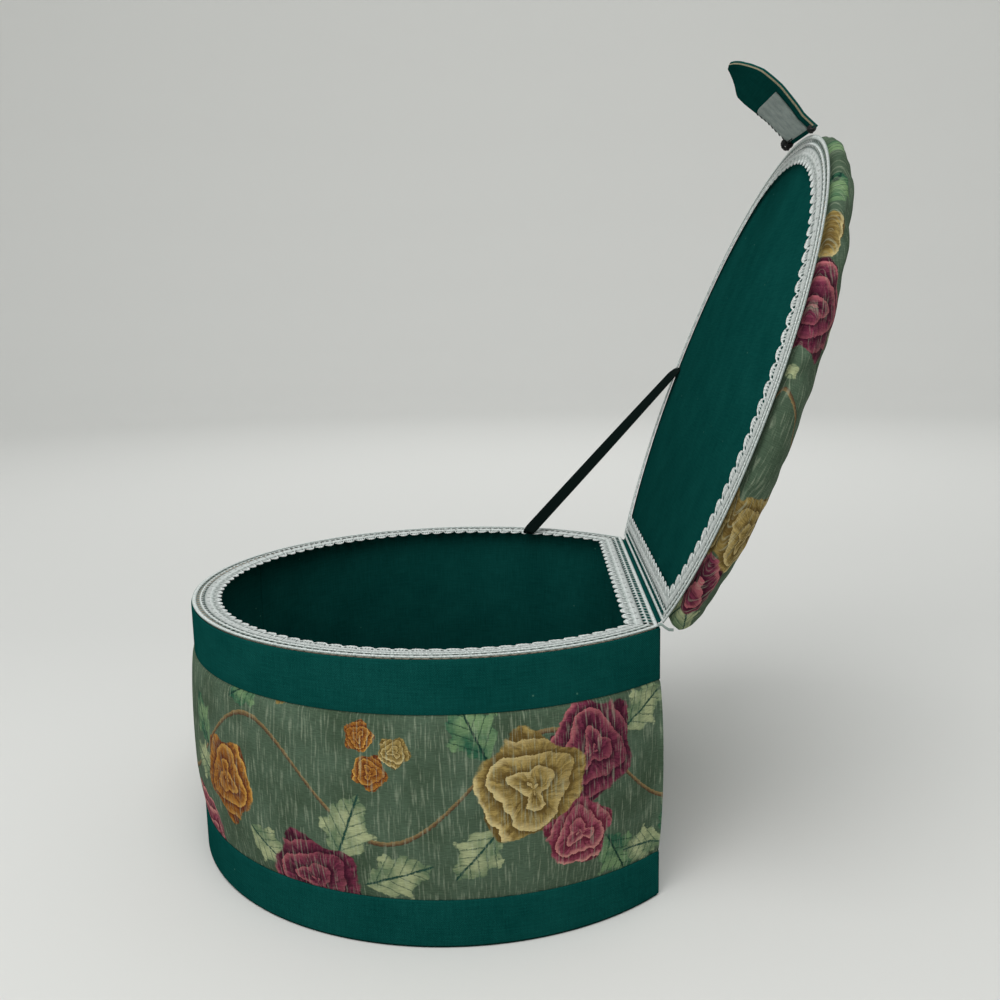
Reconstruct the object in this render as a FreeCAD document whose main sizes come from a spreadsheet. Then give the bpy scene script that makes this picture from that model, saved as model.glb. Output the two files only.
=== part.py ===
import FreeCAD, Part
import math
import os

import Sketcher

# A keepsake box of card and cloth, cut flat at the hinge side.
# X runs along the hinge, +Y points to the hinge side and +Z up.
# The origin is the centre of the round outline on the underside of the base.
# The lid stands open against its stay ribbon, as it is at rest.

os.makedirs("parts", exist_ok=True)
doc = FreeCAD.newDocument("keepsake_box")
sheet = doc.addObject("Spreadsheet::Sheet", "Sizes")
size_rows = []


def size(name, number):
    """Put one driving size, in mm or degrees, on the next row of the sheet."""
    size_rows.append(name)
    cell = "B" + str(len(size_rows))
    sheet.set("A" + str(len(size_rows)), name)
    sheet.set(cell, str(number))
    sheet.setAlias(cell, name)


# Overall outline: a circle cut by the straight hinge side.
size("box_radius", 117.0)
size("hinge_side", 83.6)
size("box_height", 111.0)

# Cloth and card that the whole box is made from.
size("cloth_thickness", 0.5)
size("glue_gap", 0.05)
size("board_thickness", 2.6)
size("card_thickness", 0.9)
size("lining_thickness", 1.0)

# Box outside: two plain bands and the padded panel between them.
size("band_thickness", 1.0)
size("upper_band_height", 20.0)
size("lower_band_height", 18.0)
size("panel_tuck", 5.0)
size("panel_crown", 1.2)
size("base_cover_thickness", 0.8)
size("base_cover_inset", 0.6)

# Box inside.
size("lining_seam_angle", 247.0)
size("lining_seam_gap", 0.4)
size("floor_clearance", 0.3)

# Lace trim on the rim and on the lid.
size("lace_thickness", 0.8)
size("lace_width", 12.2)
size("lace_edge_inset", 0.4)
size("lace_hinge_inset", 2.4)
size("scallop_pitch", 6.5)
size("scallop_depth", 2.4)
size("eyelet_length", 1.9)
size("eyelet_width", 1.3)
size("eyelet_inset", 7.6)

# Lid: board, padding and cover, with a raised lining card inside.
size("lid_angle", 110.0)
size("closing_gap", 0.4)
size("lid_board_thickness", 2.5)
size("lid_board_inset", 3.2)
size("lid_edge_height", 9.6)
size("lid_crown_height", 14.0)
size("lid_edge_round", 7.0)
size("lid_crown_reach", 62.0)
size("lid_edge_middle", 4.2)
size("lid_turn_under", 14.0)
size("lid_under_round", 2.5)
size("lid_lining_inset", 6.8)

# Cloth hinge between the rim and the lid.
size("hinge_cloth_half_length", 76.0)
size("hinge_cloth_lap", 5.6)

# Closing tab on the front of the lid, with its hook and loop patches.
size("tab_width", 41.0)
size("tab_length", 40.0)
size("tab_ply", 0.8)
size("tab_bend_radius", 58.0)
size("tab_lean", 49.0)
size("tab_root_out", 1.6)
size("tab_root_drop", 2.0)
size("knot_radius", 1.3)
size("knot_length", 4.5)
size("knot_round", 0.8)
size("hook_patch_width", 35.0)
size("hook_patch_length", 20.0)
size("hook_patch_thickness", 1.2)
size("hook_patch_start", 5.0)
size("loop_patch_width", 35.0)
size("loop_patch_height", 20.0)
size("loop_patch_thickness", 1.0)
size("loop_patch_drop", 2.0)

# Stay ribbon between the wall and the lid, on the -X side only.
size("ribbon_width", 6.5)
size("ribbon_thickness", 0.5)
size("ribbon_box_angle", 160.5)
size("ribbon_lid_side", -8.0)

# How far the cutting blocks reach past what they cut.
size("cut_margin", 1.0)
doc.recompute()


def value(expression):
    """The number that an expression over the sheet gives now."""
    return float(sheet.evalExpression(expression))


# Insets from the outline's face, and heights, as expressions over the sheet.
PANEL_INSET = "Sizes.band_thickness + Sizes.glue_gap"
BOARD_INSET = PANEL_INSET + " + Sizes.cloth_thickness + Sizes.glue_gap"
LINING_INSET = BOARD_INSET + " + Sizes.board_thickness + Sizes.glue_gap"
INSIDE_INSET = LINING_INSET + " + Sizes.lining_thickness"
FLOOR_INSET = INSIDE_INSET + " + Sizes.floor_clearance"

BASE_TOP = "Sizes.base_cover_thickness + Sizes.glue_gap"
FLOOR_BOTTOM = BASE_TOP + " + Sizes.board_thickness + Sizes.glue_gap"
LACE_BOTTOM = "Sizes.box_height - Sizes.lace_thickness"
WALL_TOP = LACE_BOTTOM + " - Sizes.cloth_thickness - 2 * Sizes.glue_gap"
BAND_BOTTOM = WALL_TOP + " - Sizes.upper_band_height"
PANEL_BOTTOM = "Sizes.base_cover_thickness + Sizes.glue_gap + Sizes.lower_band_height"

AXIS_HEIGHT = "Sizes.box_height + Sizes.closing_gap / 2"
LID_LACE_BOTTOM = "Sizes.box_height + Sizes.closing_gap"
LID_LINING_BOTTOM = LID_LACE_BOTTOM + " + Sizes.lace_thickness + Sizes.glue_gap"
LID_CARD_BOTTOM = LID_LINING_BOTTOM + " + Sizes.cloth_thickness + Sizes.glue_gap"
LID_UNDER = LID_CARD_BOTTOM + " + Sizes.card_thickness + Sizes.glue_gap"
LID_BOARD_BOTTOM = LID_UNDER + " + Sizes.cloth_thickness + Sizes.glue_gap"

ORIGIN = FreeCAD.Vector(0, 0, 0)
X_AXIS = FreeCAD.Vector(1, 0, 0)
Z_AXIS = FreeCAD.Vector(0, 0, 1)


def at(x, y, z):
    return FreeCAD.Vector(x, y, z)


def radius_at(inset):
    return "Sizes.box_radius - (" + inset + ")"


def back_at(inset):
    return "Sizes.hinge_side - (" + inset + ")"


def new_body(name):
    body = doc.addObject("PartDesign::Body", name)
    body.Label = name
    return body


def new_sketch(body, name, role, height="0"):
    """A sketch on one of the body's own planes, raised along the plane's normal."""
    sketch = body.newObject("Sketcher::SketchObject", name)
    plane = next(item for item in body.Origin.OriginFeatures if item.Role == role)
    sketch.AttachmentSupport = (plane, [""])
    sketch.MapMode = "FlatFace"
    if height != "0":
        sketch.setExpression("AttachmentOffset.Base.z", height)
    return sketch


def bind(sketch, kind, places, name, expression):
    """One named size of a sketch, tied to the sheet."""
    index = sketch.addConstraint(Sketcher.Constraint(kind, *places, value(expression)))
    sketch.renameConstraint(index, name)
    sketch.setExpression("Constraints." + name, expression)


def flat_backed_outline(sketch, name, inset):
    """The box's outline, drawn in by an inset: a circle in two halves with a flat hinge side."""
    radius = value(radius_at(inset))
    back = value(back_at(inset))
    corner = math.atan2(back, math.sqrt(radius * radius - back * back))
    circle = Part.Circle(ORIGIN, Z_AXIS, radius)
    front = 1.5 * math.pi
    left = sketch.addGeometry(Part.ArcOfCircle(circle, math.pi - corner, front), False)
    right = sketch.addGeometry(Part.ArcOfCircle(circle, front, 2 * math.pi + corner), False)
    half = radius * math.cos(corner)
    side = sketch.addGeometry(Part.LineSegment(at(half, back, 0), at(-half, back, 0)), False)
    sketch.addConstraint(Sketcher.Constraint("Coincident", left, 3, -1, 1))
    sketch.addConstraint(Sketcher.Constraint("Coincident", right, 3, -1, 1))
    sketch.addConstraint(Sketcher.Constraint("Coincident", left, 2, right, 1))
    sketch.addConstraint(Sketcher.Constraint("PointOnObject", left, 2, -2))
    sketch.addConstraint(Sketcher.Constraint("Coincident", right, 2, side, 1))
    sketch.addConstraint(Sketcher.Constraint("Coincident", side, 2, left, 1))
    sketch.addConstraint(Sketcher.Constraint("Horizontal", side))
    bind(sketch, "Radius", (left,), name + "_radius", radius_at(inset))
    bind(sketch, "DistanceY", (-1, 1, side, 1), name + "_back", back_at(inset))


def arc_between(start, end, radius, side):
    """The short arc from start to end that bulges to its right, or to its left for side -1."""
    half = (end - start).Length / 2
    rise = radius - math.sqrt(radius * radius - half * half)
    along = (end - start).normalize()
    right = at(along.y, -along.x, 0)
    return Part.Arc(start, (start + end) * 0.5 + right * (rise * side), end)


def section_outline(sketch, corners):
    """A closed outline of corners: x, y and the bend after it, as None or (side, radius)."""
    points = [at(value(x), value(y), 0) for x, y, bend in corners]
    edges = []
    ends = []
    for index, (x, y, bend) in enumerate(corners):
        start = points[index]
        end = points[(index + 1) % len(points)]
        if bend is None:
            edges.append(sketch.addGeometry(Part.LineSegment(start, end), False))
        else:
            edges.append(sketch.addGeometry(arc_between(start, end, value(bend[1]), bend[0]), False))
        drawn = sketch.Geometry[edges[-1]]
        forward = drawn.StartPoint.distanceToPoint(start) < drawn.EndPoint.distanceToPoint(start)
        ends.append((1, 2) if forward else (2, 1))
    for index, (x, y, bend) in enumerate(corners):
        name = "corner" + str(index)
        after = (index + 1) % len(corners)
        spot = (edges[index], ends[index][0])
        joined = (edges[index], ends[index][1], edges[after], ends[after][0])
        sketch.addConstraint(Sketcher.Constraint("Coincident", *joined))
        if x == "0":
            sketch.addConstraint(Sketcher.Constraint("PointOnObject", *spot, -2))
        else:
            bind(sketch, "DistanceX", (-1, 1) + spot, name + "_x", x)
        bind(sketch, "DistanceY", (-1, 1) + spot, name + "_y", y)
        if bend is not None:
            bind(sketch, "Radius", (edges[index],), name + "_radius", bend[1])


def pad(body, sketch, length, both_ways=False):
    feature = body.newObject("PartDesign::Pad", sketch.Name + "_pad")
    feature.Profile = sketch
    feature.setExpression("Length", length)
    feature.Midplane = both_ways
    return feature


def pocket_through(body, sketch):
    """Cut along the sketch's normal, both ways, through the whole body."""
    feature = body.newObject("PartDesign::Pocket", sketch.Name + "_pocket")
    feature.Profile = sketch
    feature.Type = "ThroughAll"
    feature.Midplane = True
    return feature


def revolve(body, sketch, axis, angle, both_ways=False):
    feature = body.newObject("PartDesign::Revolution", sketch.Name + "_turn")
    feature.Profile = sketch
    feature.ReferenceAxis = (sketch, [axis])
    feature.setExpression("Angle", angle)
    feature.Midplane = both_ways
    return feature


def plate(name, bottom, thickness, inset):
    """A flat sheet with the box's outline."""
    body = new_body(name)
    sketch = new_sketch(body, name + "_outline", "XY_Plane", bottom)
    flat_backed_outline(sketch, "edge", inset)
    pad(body, sketch, thickness)
    return body


def ring(name, bottom, height, outer_inset, inner_inset):
    """An upright strip that follows the box's outline."""
    body = new_body(name)
    sketch = new_sketch(body, name + "_outline", "XY_Plane", bottom)
    flat_backed_outline(sketch, "outer", outer_inset)
    flat_backed_outline(sketch, "inner", inner_inset)
    pad(body, sketch, height)
    return body


def stack(name, levels):
    """A soft form drawn over outlines at rising heights: inset and height of each."""
    body = new_body(name)
    outlines = []
    for index, (inset, height) in enumerate(levels):
        sketch = new_sketch(body, name + "_level" + str(index), "XY_Plane", height)
        flat_backed_outline(sketch, "edge", inset)
        outlines.append(sketch)
    form = body.newObject("PartDesign::AdditiveLoft", name + "_form")
    form.Profile = outlines[0]
    form.Sections = outlines[1:]
    form.Ruled = True
    return body


def cut(name, base, tool):
    feature = doc.addObject("Part::Cut", name)
    feature.Label = name
    feature.Base = base
    feature.Tool = tool
    return feature


def opened(body):
    """Turn a lid piece, built closed, to where it rests."""
    axis = at(0, value("Sizes.hinge_side"), value(AXIS_HEIGHT))
    turn = FreeCAD.Rotation(X_AXIS, -value("Sizes.lid_angle"))
    swing = FreeCAD.Placement(ORIGIN, turn, axis)
    body.Placement = swing.multiply(body.Placement)
    return body


def wall_board():
    return ring("wall_board", BASE_TOP, WALL_TOP + " - (" + BASE_TOP + ")", BOARD_INSET,
                BOARD_INSET + " + Sizes.board_thickness")


def base_board():
    inset = BOARD_INSET + " + Sizes.board_thickness + Sizes.glue_gap"
    return plate("base_board", BASE_TOP, "Sizes.board_thickness", inset)


def base_cover():
    return plate("base_cover", "0", "Sizes.base_cover_thickness", "Sizes.base_cover_inset")


def floor_card():
    return plate("floor_card", FLOOR_BOTTOM, "Sizes.card_thickness", FLOOR_INSET)


def floor_cloth():
    bottom = FLOOR_BOTTOM + " + Sizes.card_thickness + Sizes.glue_gap"
    return plate("floor_cloth", bottom, "Sizes.cloth_thickness", FLOOR_INSET)


def wall_lining():
    """One strip of lined card inside the wall, whose ends meet at a seam."""
    height = WALL_TOP + " - (" + FLOOR_BOTTOM + ")"
    body = ring("wall_lining", FLOOR_BOTTOM, height, LINING_INSET, INSIDE_INSET)
    sketch = new_sketch(body, "seam", "XY_Plane", FLOOR_BOTTOM)
    sketch.setExpression("AttachmentOffset.Rotation.Angle", "Sizes.lining_seam_angle")
    half = "Sizes.lining_seam_gap / 2"
    near = radius_at(INSIDE_INSET + " + Sizes.cut_margin")
    far = radius_at(LINING_INSET + " - Sizes.cut_margin")
    section_outline(sketch, [(near, "-" + half, None), (far, "-" + half, None), (far, half, None),
                             (near, half, None)])
    pocket_through(body, sketch)
    return body


def upper_band():
    """The band below the rim, turned in over the wall's edge except under the hinge cloth."""
    body = ring("upper_band", BAND_BOTTOM, "Sizes.upper_band_height", "0", "Sizes.band_thickness")
    turn_in = new_sketch(body, "rim_turn", "XY_Plane", WALL_TOP)
    flat_backed_outline(turn_in, "outer", "0")
    flat_backed_outline(turn_in, "inner", INSIDE_INSET)
    pad(body, turn_in, "Sizes.cloth_thickness")
    room = new_sketch(body, "hinge_room", "XY_Plane", WALL_TOP + " + Sizes.cloth_thickness / 2")
    half = "Sizes.hinge_cloth_half_length + Sizes.floor_clearance"
    front = back_at("Sizes.hinge_cloth_lap + Sizes.floor_clearance")
    behind = "Sizes.hinge_side + Sizes.cut_margin"
    section_outline(room, [("-(" + half + ")", front, None), (half, front, None),
                           (half, behind, None), ("-(" + half + ")", behind, None)])
    slot = body.newObject("PartDesign::Pocket", "hinge_room_pocket")
    slot.Profile = room
    slot.Midplane = True
    slot.setExpression("Length", "Sizes.cloth_thickness")
    return body


def lower_band():
    return ring("lower_band", BASE_TOP, "Sizes.lower_band_height", "0", "Sizes.band_thickness")


def crowned_form(name, inset, crown, tuck):
    """A closed block with the panel's outline, crowned between the two bands."""
    height = "(" + BAND_BOTTOM + " - (" + PANEL_BOTTOM + "))"
    levels = [(inset, PANEL_BOTTOM + " - (" + tuck + ")"), (inset, PANEL_BOTTOM)]
    for share in ("0.2", "0.5", "0.8"):
        bulge = "4 * " + share + " * (1 - " + share + ") * (" + crown + " + " + PANEL_INSET + ")"
        levels.append((inset + " - " + bulge, PANEL_BOTTOM + " + " + share + " * " + height))
    levels += [(inset, BAND_BOTTOM), (inset, BAND_BOTTOM + " + (" + tuck + ")")]
    return stack(name, levels)


def floral_panel():
    """Printed cloth drawn over the wall's padding, its edges under the bands."""
    outer = crowned_form("panel_face", PANEL_INSET, "Sizes.panel_crown", "Sizes.panel_tuck")
    inner = crowned_form("panel_hollow", PANEL_INSET + " + Sizes.cloth_thickness", "Sizes.panel_crown",
                         "Sizes.panel_tuck + Sizes.cut_margin")
    return cut("floral_panel", outer, inner)


def wall_padding():
    """Wadding between the wall and the printed cloth, thickest half way up."""
    outer = crowned_form("padding_face", BOARD_INSET, "Sizes.panel_crown - Sizes.glue_gap",
                         "Sizes.panel_tuck / 5")
    inner = plate("padding_hollow", "0", "Sizes.box_height", BOARD_INSET + " - Sizes.glue_gap / 2")
    return cut("wall_padding", outer, inner)


def lid_form(name, offset):
    """A closed block with the lid's outline, rounded edge and crown, drawn in by an offset."""
    middle = LID_UNDER + " + Sizes.lid_edge_middle"
    shoulder = LID_UNDER + " + Sizes.lid_edge_height - " + offset
    crown = LID_UNDER + " + Sizes.lid_crown_height - " + offset
    rise = "(" + crown + " - (" + shoulder + "))"
    levels = [("Sizes.lid_under_round", LID_UNDER + " + " + offset), (offset, middle)]
    for turn in ("30", "60"):
        levels.append(("Sizes.lid_edge_round - (Sizes.lid_edge_round - " + offset + ") * cos(" + turn + ")",
                       middle + " + (" + shoulder + " - (" + middle + ")) * sin(" + turn + ")"))
    levels.append(("Sizes.lid_edge_round", shoulder))
    levels.append(("Sizes.lid_edge_round + 0.45 * Sizes.lid_crown_reach",
                   shoulder + " + " + rise + " * 0.45 * (2 - 0.45)"))
    levels.append(("Sizes.lid_edge_round + Sizes.lid_crown_reach", crown))
    return stack(name, levels)


def lid_cover():
    """Printed cloth over the padding, turned under the lid board all round."""
    face = lid_form("cover_face", "0")
    shell = cut("cover_shell", face, lid_form("cover_hollow", "Sizes.cloth_thickness"))
    gap = plate("turn_under_gap", LID_UNDER + " - Sizes.cut_margin",
                "Sizes.cloth_thickness + 2 * Sizes.cut_margin", "Sizes.lid_turn_under")
    return opened(cut("lid_cover", shell, gap))


def lid_padding():
    """Wadding on the lid board, domed, filling the cover down past the board's edge."""
    form = lid_form("lid_padding_form", "(Sizes.cloth_thickness + Sizes.glue_gap)")
    depth = "Sizes.cloth_thickness + Sizes.lid_board_thickness + 2 * Sizes.glue_gap"
    room = plate("lid_board_room", LID_UNDER, depth, "Sizes.lid_board_inset - Sizes.glue_gap")
    return opened(cut("lid_padding", form, room))


def lid_board():
    return opened(plate("lid_board", LID_BOARD_BOTTOM, "Sizes.lid_board_thickness - Sizes.glue_gap",
                        "Sizes.lid_board_inset"))


def lid_lining_card():
    return opened(plate("lid_lining_card", LID_CARD_BOTTOM, "Sizes.card_thickness",
                        "Sizes.lid_lining_inset + Sizes.cloth_thickness"))


def lid_lining_cloth():
    return opened(plate("lid_lining_cloth", LID_LINING_BOTTOM, "Sizes.cloth_thickness",
                        "Sizes.lid_lining_inset"))


def scallop(first, tip, last):
    """One scallop from valley to valley, with a full shoulder each side of its tip."""
    inward = tip - (first + last) * 0.5
    shoulders = [end * 0.8 + other * 0.2 + inward * 0.72 for end, other in ((first, last), (last, first))]
    spots = [first, shoulders[0], tip, shoulders[1], last]
    return [Part.LineSegment(spots[index], spots[index + 1]).toShape() for index in range(4)]


def scallop_row(start, end, inward, depth, pitch):
    """Scallops along a straight stretch, and the valleys between them."""
    count = max(1, round((end - start).Length / pitch))
    step = (end - start) * (1.0 / count)
    edges = []
    valleys = []
    for index in range(count):
        first = start + step * index
        last = start + step * (index + 1)
        edges += scallop(first, (first + last) * 0.5 + inward * depth, last)
        if index:
            valleys.append((first, inward))
    return edges, valleys


def scallop_arc(radius, first_angle, last_angle, depth, pitch):
    """Scallops round the curved stretch, pointing to the middle of the box."""
    count = max(1, round(radius * (last_angle - first_angle) / pitch))
    step = (last_angle - first_angle) / count
    edges = []
    valleys = []
    for index in range(count):
        ends = [first_angle + step * (index + part) for part in (0, 0.5, 1)]
        reach = (radius, radius - depth, radius)
        spots = [at(r * math.cos(a), r * math.sin(a), 0) for r, a in zip(reach, ends)]
        edges += scallop(*spots)
        if index:
            valleys.append((spots[0], at(-math.cos(ends[0]), -math.sin(ends[0]), 0)))
    return edges, valleys


def eyelet(valley, inward, back_off, length, width):
    """One diamond-shaped opening in the lace, behind the valley between two scallops."""
    middle = valley - inward * back_off
    along = at(-inward.y, inward.x, 0)
    corners = [middle + along * (length / 2), middle + inward * (width / 2),
               middle - along * (length / 2), middle - inward * (width / 2)]
    return Part.makePolygon(corners + corners[:1])


def lace_trim(name, bottom):
    """Cotton lace round the outline: a straight header and a scalloped inner edge."""
    depth = value("Sizes.scallop_depth")
    pitch = value("Sizes.scallop_pitch")
    width = value("Sizes.lace_width")
    outer_radius = value(radius_at("Sizes.lace_edge_inset"))
    outer_back = value(back_at("Sizes.lace_hinge_inset"))
    radius = outer_radius - width + depth
    back = outer_back - width + depth
    outer_corner = math.acos(outer_back / outer_radius)
    corner = math.acos(back / radius)
    first = math.pi / 2 + corner
    last = 2.5 * math.pi - corner
    curve, curve_valleys = scallop_arc(radius, first, last, depth, pitch)
    right = at(radius * math.sin(corner), back, 0)
    left = at(-right.x, back, 0)
    line, line_valleys = scallop_row(right, left, at(0, -1, 0), depth, pitch)
    outer_right = at(outer_radius * math.sin(outer_corner), outer_back, 0)
    outer_left = at(-outer_right.x, outer_back, 0)
    header = [Part.Arc(outer_left, at(0, -outer_radius, 0), outer_right).toShape(),
              Part.LineSegment(outer_right, outer_left).toShape()]
    outline = Part.Wire(header)
    inside = Part.Wire(curve + line)
    behind = width - depth - value("Sizes.eyelet_inset")
    holes = [eyelet(valley, inward, behind, value("Sizes.eyelet_length"), value("Sizes.eyelet_width"))
             for valley, inward in curve_valleys + line_valleys]
    face = Part.makeFace([outline, inside] + holes, "Part::FaceMakerBullseye")
    feature = doc.addObject("Part::Feature", name)
    feature.Label = name
    feature.Shape = face.extrude(at(0, 0, value("Sizes.lace_thickness")))
    feature.Placement = FreeCAD.Placement(at(0, 0, value(bottom)), FreeCAD.Rotation())
    return feature


def loop_patch():
    """The soft half of the closure, glued round the front of the upper band."""
    body = new_body("loop_patch")
    inner = "Sizes.box_radius + Sizes.glue_gap"
    outer = inner + " + Sizes.loop_patch_thickness"
    top = WALL_TOP + " - Sizes.loop_patch_drop"
    bottom = top + " - Sizes.loop_patch_height"
    sketch = new_sketch(body, "patch_section", "YZ_Plane")
    section_outline(sketch, [("-(" + outer + ")", bottom, None), ("-(" + inner + ")", bottom, None),
                             ("-(" + inner + ")", top, None), ("-(" + outer + ")", top, None)])
    revolve(body, sketch, "V_Axis", "Sizes.loop_patch_width / Sizes.box_radius * 180 / pi", True)
    return body


def hinge_cloth():
    """One strip glued on the rim and under the lid, folded round the hinge axis."""
    body = new_body("hinge_cloth")
    outer = "(" + AXIS_HEIGHT + " - (" + WALL_TOP + ") - Sizes.glue_gap)"
    inner = "(" + outer + " - Sizes.cloth_thickness)"
    lap = "Sizes.hinge_cloth_lap"
    over = "sin(Sizes.lid_angle)"
    down = "cos(Sizes.lid_angle)"
    sketch = new_sketch(body, "hinge_section", "YZ_Plane")
    sketch.setExpression("AttachmentOffset.Base.x", "Sizes.hinge_side")
    sketch.setExpression("AttachmentOffset.Base.y", AXIS_HEIGHT)
    lid_end = [(depth + " * " + over + " - " + lap + " * " + down,
                depth + " * " + down + " + " + lap + " * " + over) for depth in (outer, inner)]
    section_outline(sketch, [
        ("-" + lap, "-" + outer, None),
        ("0", "-" + outer, (1, outer)),
        (outer + " * " + over, outer + " * " + down, None),
        lid_end[0] + (None,),
        lid_end[1] + (None,),
        (inner + " * " + over, inner + " * " + down, (-1, inner)),
        ("0", "-" + inner, None),
        ("-" + lap, "-" + inner, None)])
    pad(body, sketch, "2 * Sizes.hinge_cloth_half_length", True)
    return body


def tab_axis():
    """Where the tab folds, just off the front of the closed lid."""
    out = value("Sizes.box_radius + Sizes.tab_root_out")
    return at(0, -out, value(LID_UNDER + " - Sizes.tab_root_drop"))


def tab_strip(name, inner_radius, thickness, width, start, length):
    """A strip bent along the tab's curve, its start measured from the fold."""
    body = new_body(name)
    sketch = new_sketch(body, name + "_section", "XZ_Plane")
    half = "(" + width + ") / 2"
    top = inner_radius + " + " + thickness
    section_outline(sketch, [("-" + half, inner_radius, None), (half, inner_radius, None),
                             (half, top, None), ("-" + half, top, None)])
    revolve(body, sketch, "H_Axis", "(" + length + ") / Sizes.tab_bend_radius * 180 / pi")
    lean = value("Sizes.tab_lean")
    bend = value("Sizes.tab_bend_radius")
    root = FreeCAD.Rotation(X_AXIS, lean).multVec(at(0, 0, bend))
    turn = lean + math.degrees(value(start) / bend)
    body.Placement = FreeCAD.Placement(tab_axis() - root, FreeCAD.Rotation(X_AXIS, turn))
    return body


TAB_START = "Sizes.knot_radius + Sizes.floor_clearance"
TAB_BACK = "Sizes.tab_bend_radius - Sizes.tab_ply - Sizes.glue_gap"


def tab_facing():
    """The outer ply of the tab."""
    return opened(tab_strip("tab_facing", "Sizes.tab_bend_radius", "Sizes.tab_ply", "Sizes.tab_width",
                            TAB_START, "Sizes.tab_length"))


def tab_backing():
    """The inner ply, whose root is rolled round the fold between the two knots."""
    neck_width = "Sizes.tab_width - 2 * Sizes.knot_length - 2 * Sizes.floor_clearance"
    strip = tab_strip("backing_strip", TAB_BACK, "Sizes.tab_ply", "Sizes.tab_width", TAB_START,
                      "Sizes.tab_length")
    neck = tab_strip("backing_neck", TAB_BACK, "Sizes.tab_ply", neck_width, "0",
                     TAB_START + " + Sizes.cut_margin")
    roll = doc.addObject("Part::Cylinder", "backing_roll")
    roll.setExpression("Radius", "Sizes.knot_radius - Sizes.glue_gap")
    roll.setExpression("Height", neck_width)
    roll.Placement = FreeCAD.Placement(tab_axis() - at(value(neck_width) / 2, 0, 0),
                                       FreeCAD.Rotation(at(0, 1, 0), 90))
    backing = doc.addObject("Part::MultiFuse", "tab_backing")
    backing.Label = "tab_backing"
    backing.Shapes = [strip, neck, roll]
    return opened(backing)


def hook_patch():
    """The stiff half of the closure, stitched on the inner face of the tab."""
    inner = TAB_BACK + " - Sizes.glue_gap - Sizes.hook_patch_thickness"
    return opened(tab_strip("hook_patch", inner, "Sizes.hook_patch_thickness", "Sizes.hook_patch_width",
                            "Sizes.hook_patch_start", "Sizes.hook_patch_length"))


def tab_stitches():
    """Two knots of thread that hold the tab's root corners to the lid and turn with the tab."""
    knots = []
    for side in (-1, 1):
        knot = doc.addObject("Part::Cylinder", "knot_left" if side < 0 else "knot_right")
        knot.setExpression("Radius", "Sizes.knot_radius")
        knot.setExpression("Height", "Sizes.knot_length")
        middle = side * value("Sizes.tab_width / 2 - Sizes.knot_length / 2")
        start = tab_axis() + at(middle - value("Sizes.knot_length / 2"), 0, 0)
        knot.Placement = FreeCAD.Placement(start, FreeCAD.Rotation(at(0, 1, 0), 90))
        rounded = doc.addObject("Part::Chamfer", knot.Name + "_rounded")
        rounded.Base = knot
        soft = value("Sizes.knot_round")
        rounded.Edges = [(1, soft, soft), (3, soft, soft)]
        knots.append(rounded)
    pair = doc.addObject("Part::Compound", "tab_stitches")
    pair.Label = "tab_stitches"
    pair.Links = knots
    return opened(pair)


def cross_section(middle, along, across):
    """The ribbon's rectangle at one point of its way, its width as near across as squareness lets it."""
    through = along.cross(across).normalize()
    wide = through.cross(along).normalize() * value("Sizes.ribbon_width / 2")
    thick = through * value("Sizes.ribbon_thickness / 2")
    corners = [middle - wide - thick, middle + wide - thick, middle + wide + thick, middle - wide + thick]
    return Part.makePolygon(corners + corners[:1])


def stay_ribbon():
    """The ribbon that holds the open lid: sewn under the lace, round its edge, then taut to the lid."""
    angle = math.radians(value("Sizes.ribbon_box_angle"))
    outward = at(math.cos(angle), math.sin(angle), 0)
    rise = at(0, 0, 1)
    off = value("Sizes.ribbon_thickness / 2 + Sizes.floor_clearance")
    lace = value(radius_at("Sizes.lace_edge_inset + Sizes.lace_width")) - off
    below = rise * (value(LACE_BOTTOM) - off)
    sewn = outward * value(radius_at(FLOOR_INSET)) + below
    under = outward * lace + below
    over = outward * lace + rise * (value("Sizes.box_height") + off)
    lid_y = value("Sizes.ribbon_lid_side")
    reach = lace - value("Sizes.ribbon_width / 2")
    lid_x = -math.sqrt(reach * reach - lid_y * lid_y)
    axis = at(0, value("Sizes.hinge_side"), value(AXIS_HEIGHT))
    swing = FreeCAD.Placement(ORIGIN, FreeCAD.Rotation(X_AXIS, -value("Sizes.lid_angle")), axis)
    end = swing.multVec(at(lid_x, lid_y, value(LID_LINING_BOTTOM) - off))
    taut = (end - over).normalize()
    box_across = rise.cross(outward)
    lid_across = taut.cross(swing.Rotation.multVec(rise)).normalize()
    if lid_across.dot(box_across) < 0:
        lid_across = -lid_across
    sections = [cross_section(sewn, -outward, box_across),
                cross_section(under, (rise - outward).normalize(), box_across),
                cross_section(over, (rise + taut).normalize(), box_across)]
    steps = 5
    for step in range(1, steps + 1):
        part = step / steps
        across = box_across * (1 - part) + lid_across * part
        sections.append(cross_section(over + (end - over) * part, taut, across))
    feature = doc.addObject("Part::Feature", "stay_ribbon")
    feature.Label = "stay_ribbon"
    feature.Shape = Part.makeLoft(sections, True, True)
    return feature


def rim_lace():
    return lace_trim("rim_lace", LACE_BOTTOM)


def lid_lace():
    return opened(lace_trim("lid_lace", LID_LACE_BOTTOM))


box_pieces = [base_cover(), base_board(), wall_board(), wall_padding(), floral_panel(), lower_band(),
              upper_band(), wall_lining(), floor_card(), floor_cloth(), rim_lace(), loop_patch()]
joining_pieces = [hinge_cloth(), stay_ribbon()]
lid_pieces = [lid_board(), lid_padding(), lid_cover(), lid_lining_card(), lid_lining_cloth(), lid_lace()]
tab_pieces = [tab_facing(), tab_backing(), hook_patch(), tab_stitches()]
pieces = box_pieces + joining_pieces + lid_pieces + tab_pieces
doc.recompute()

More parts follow.
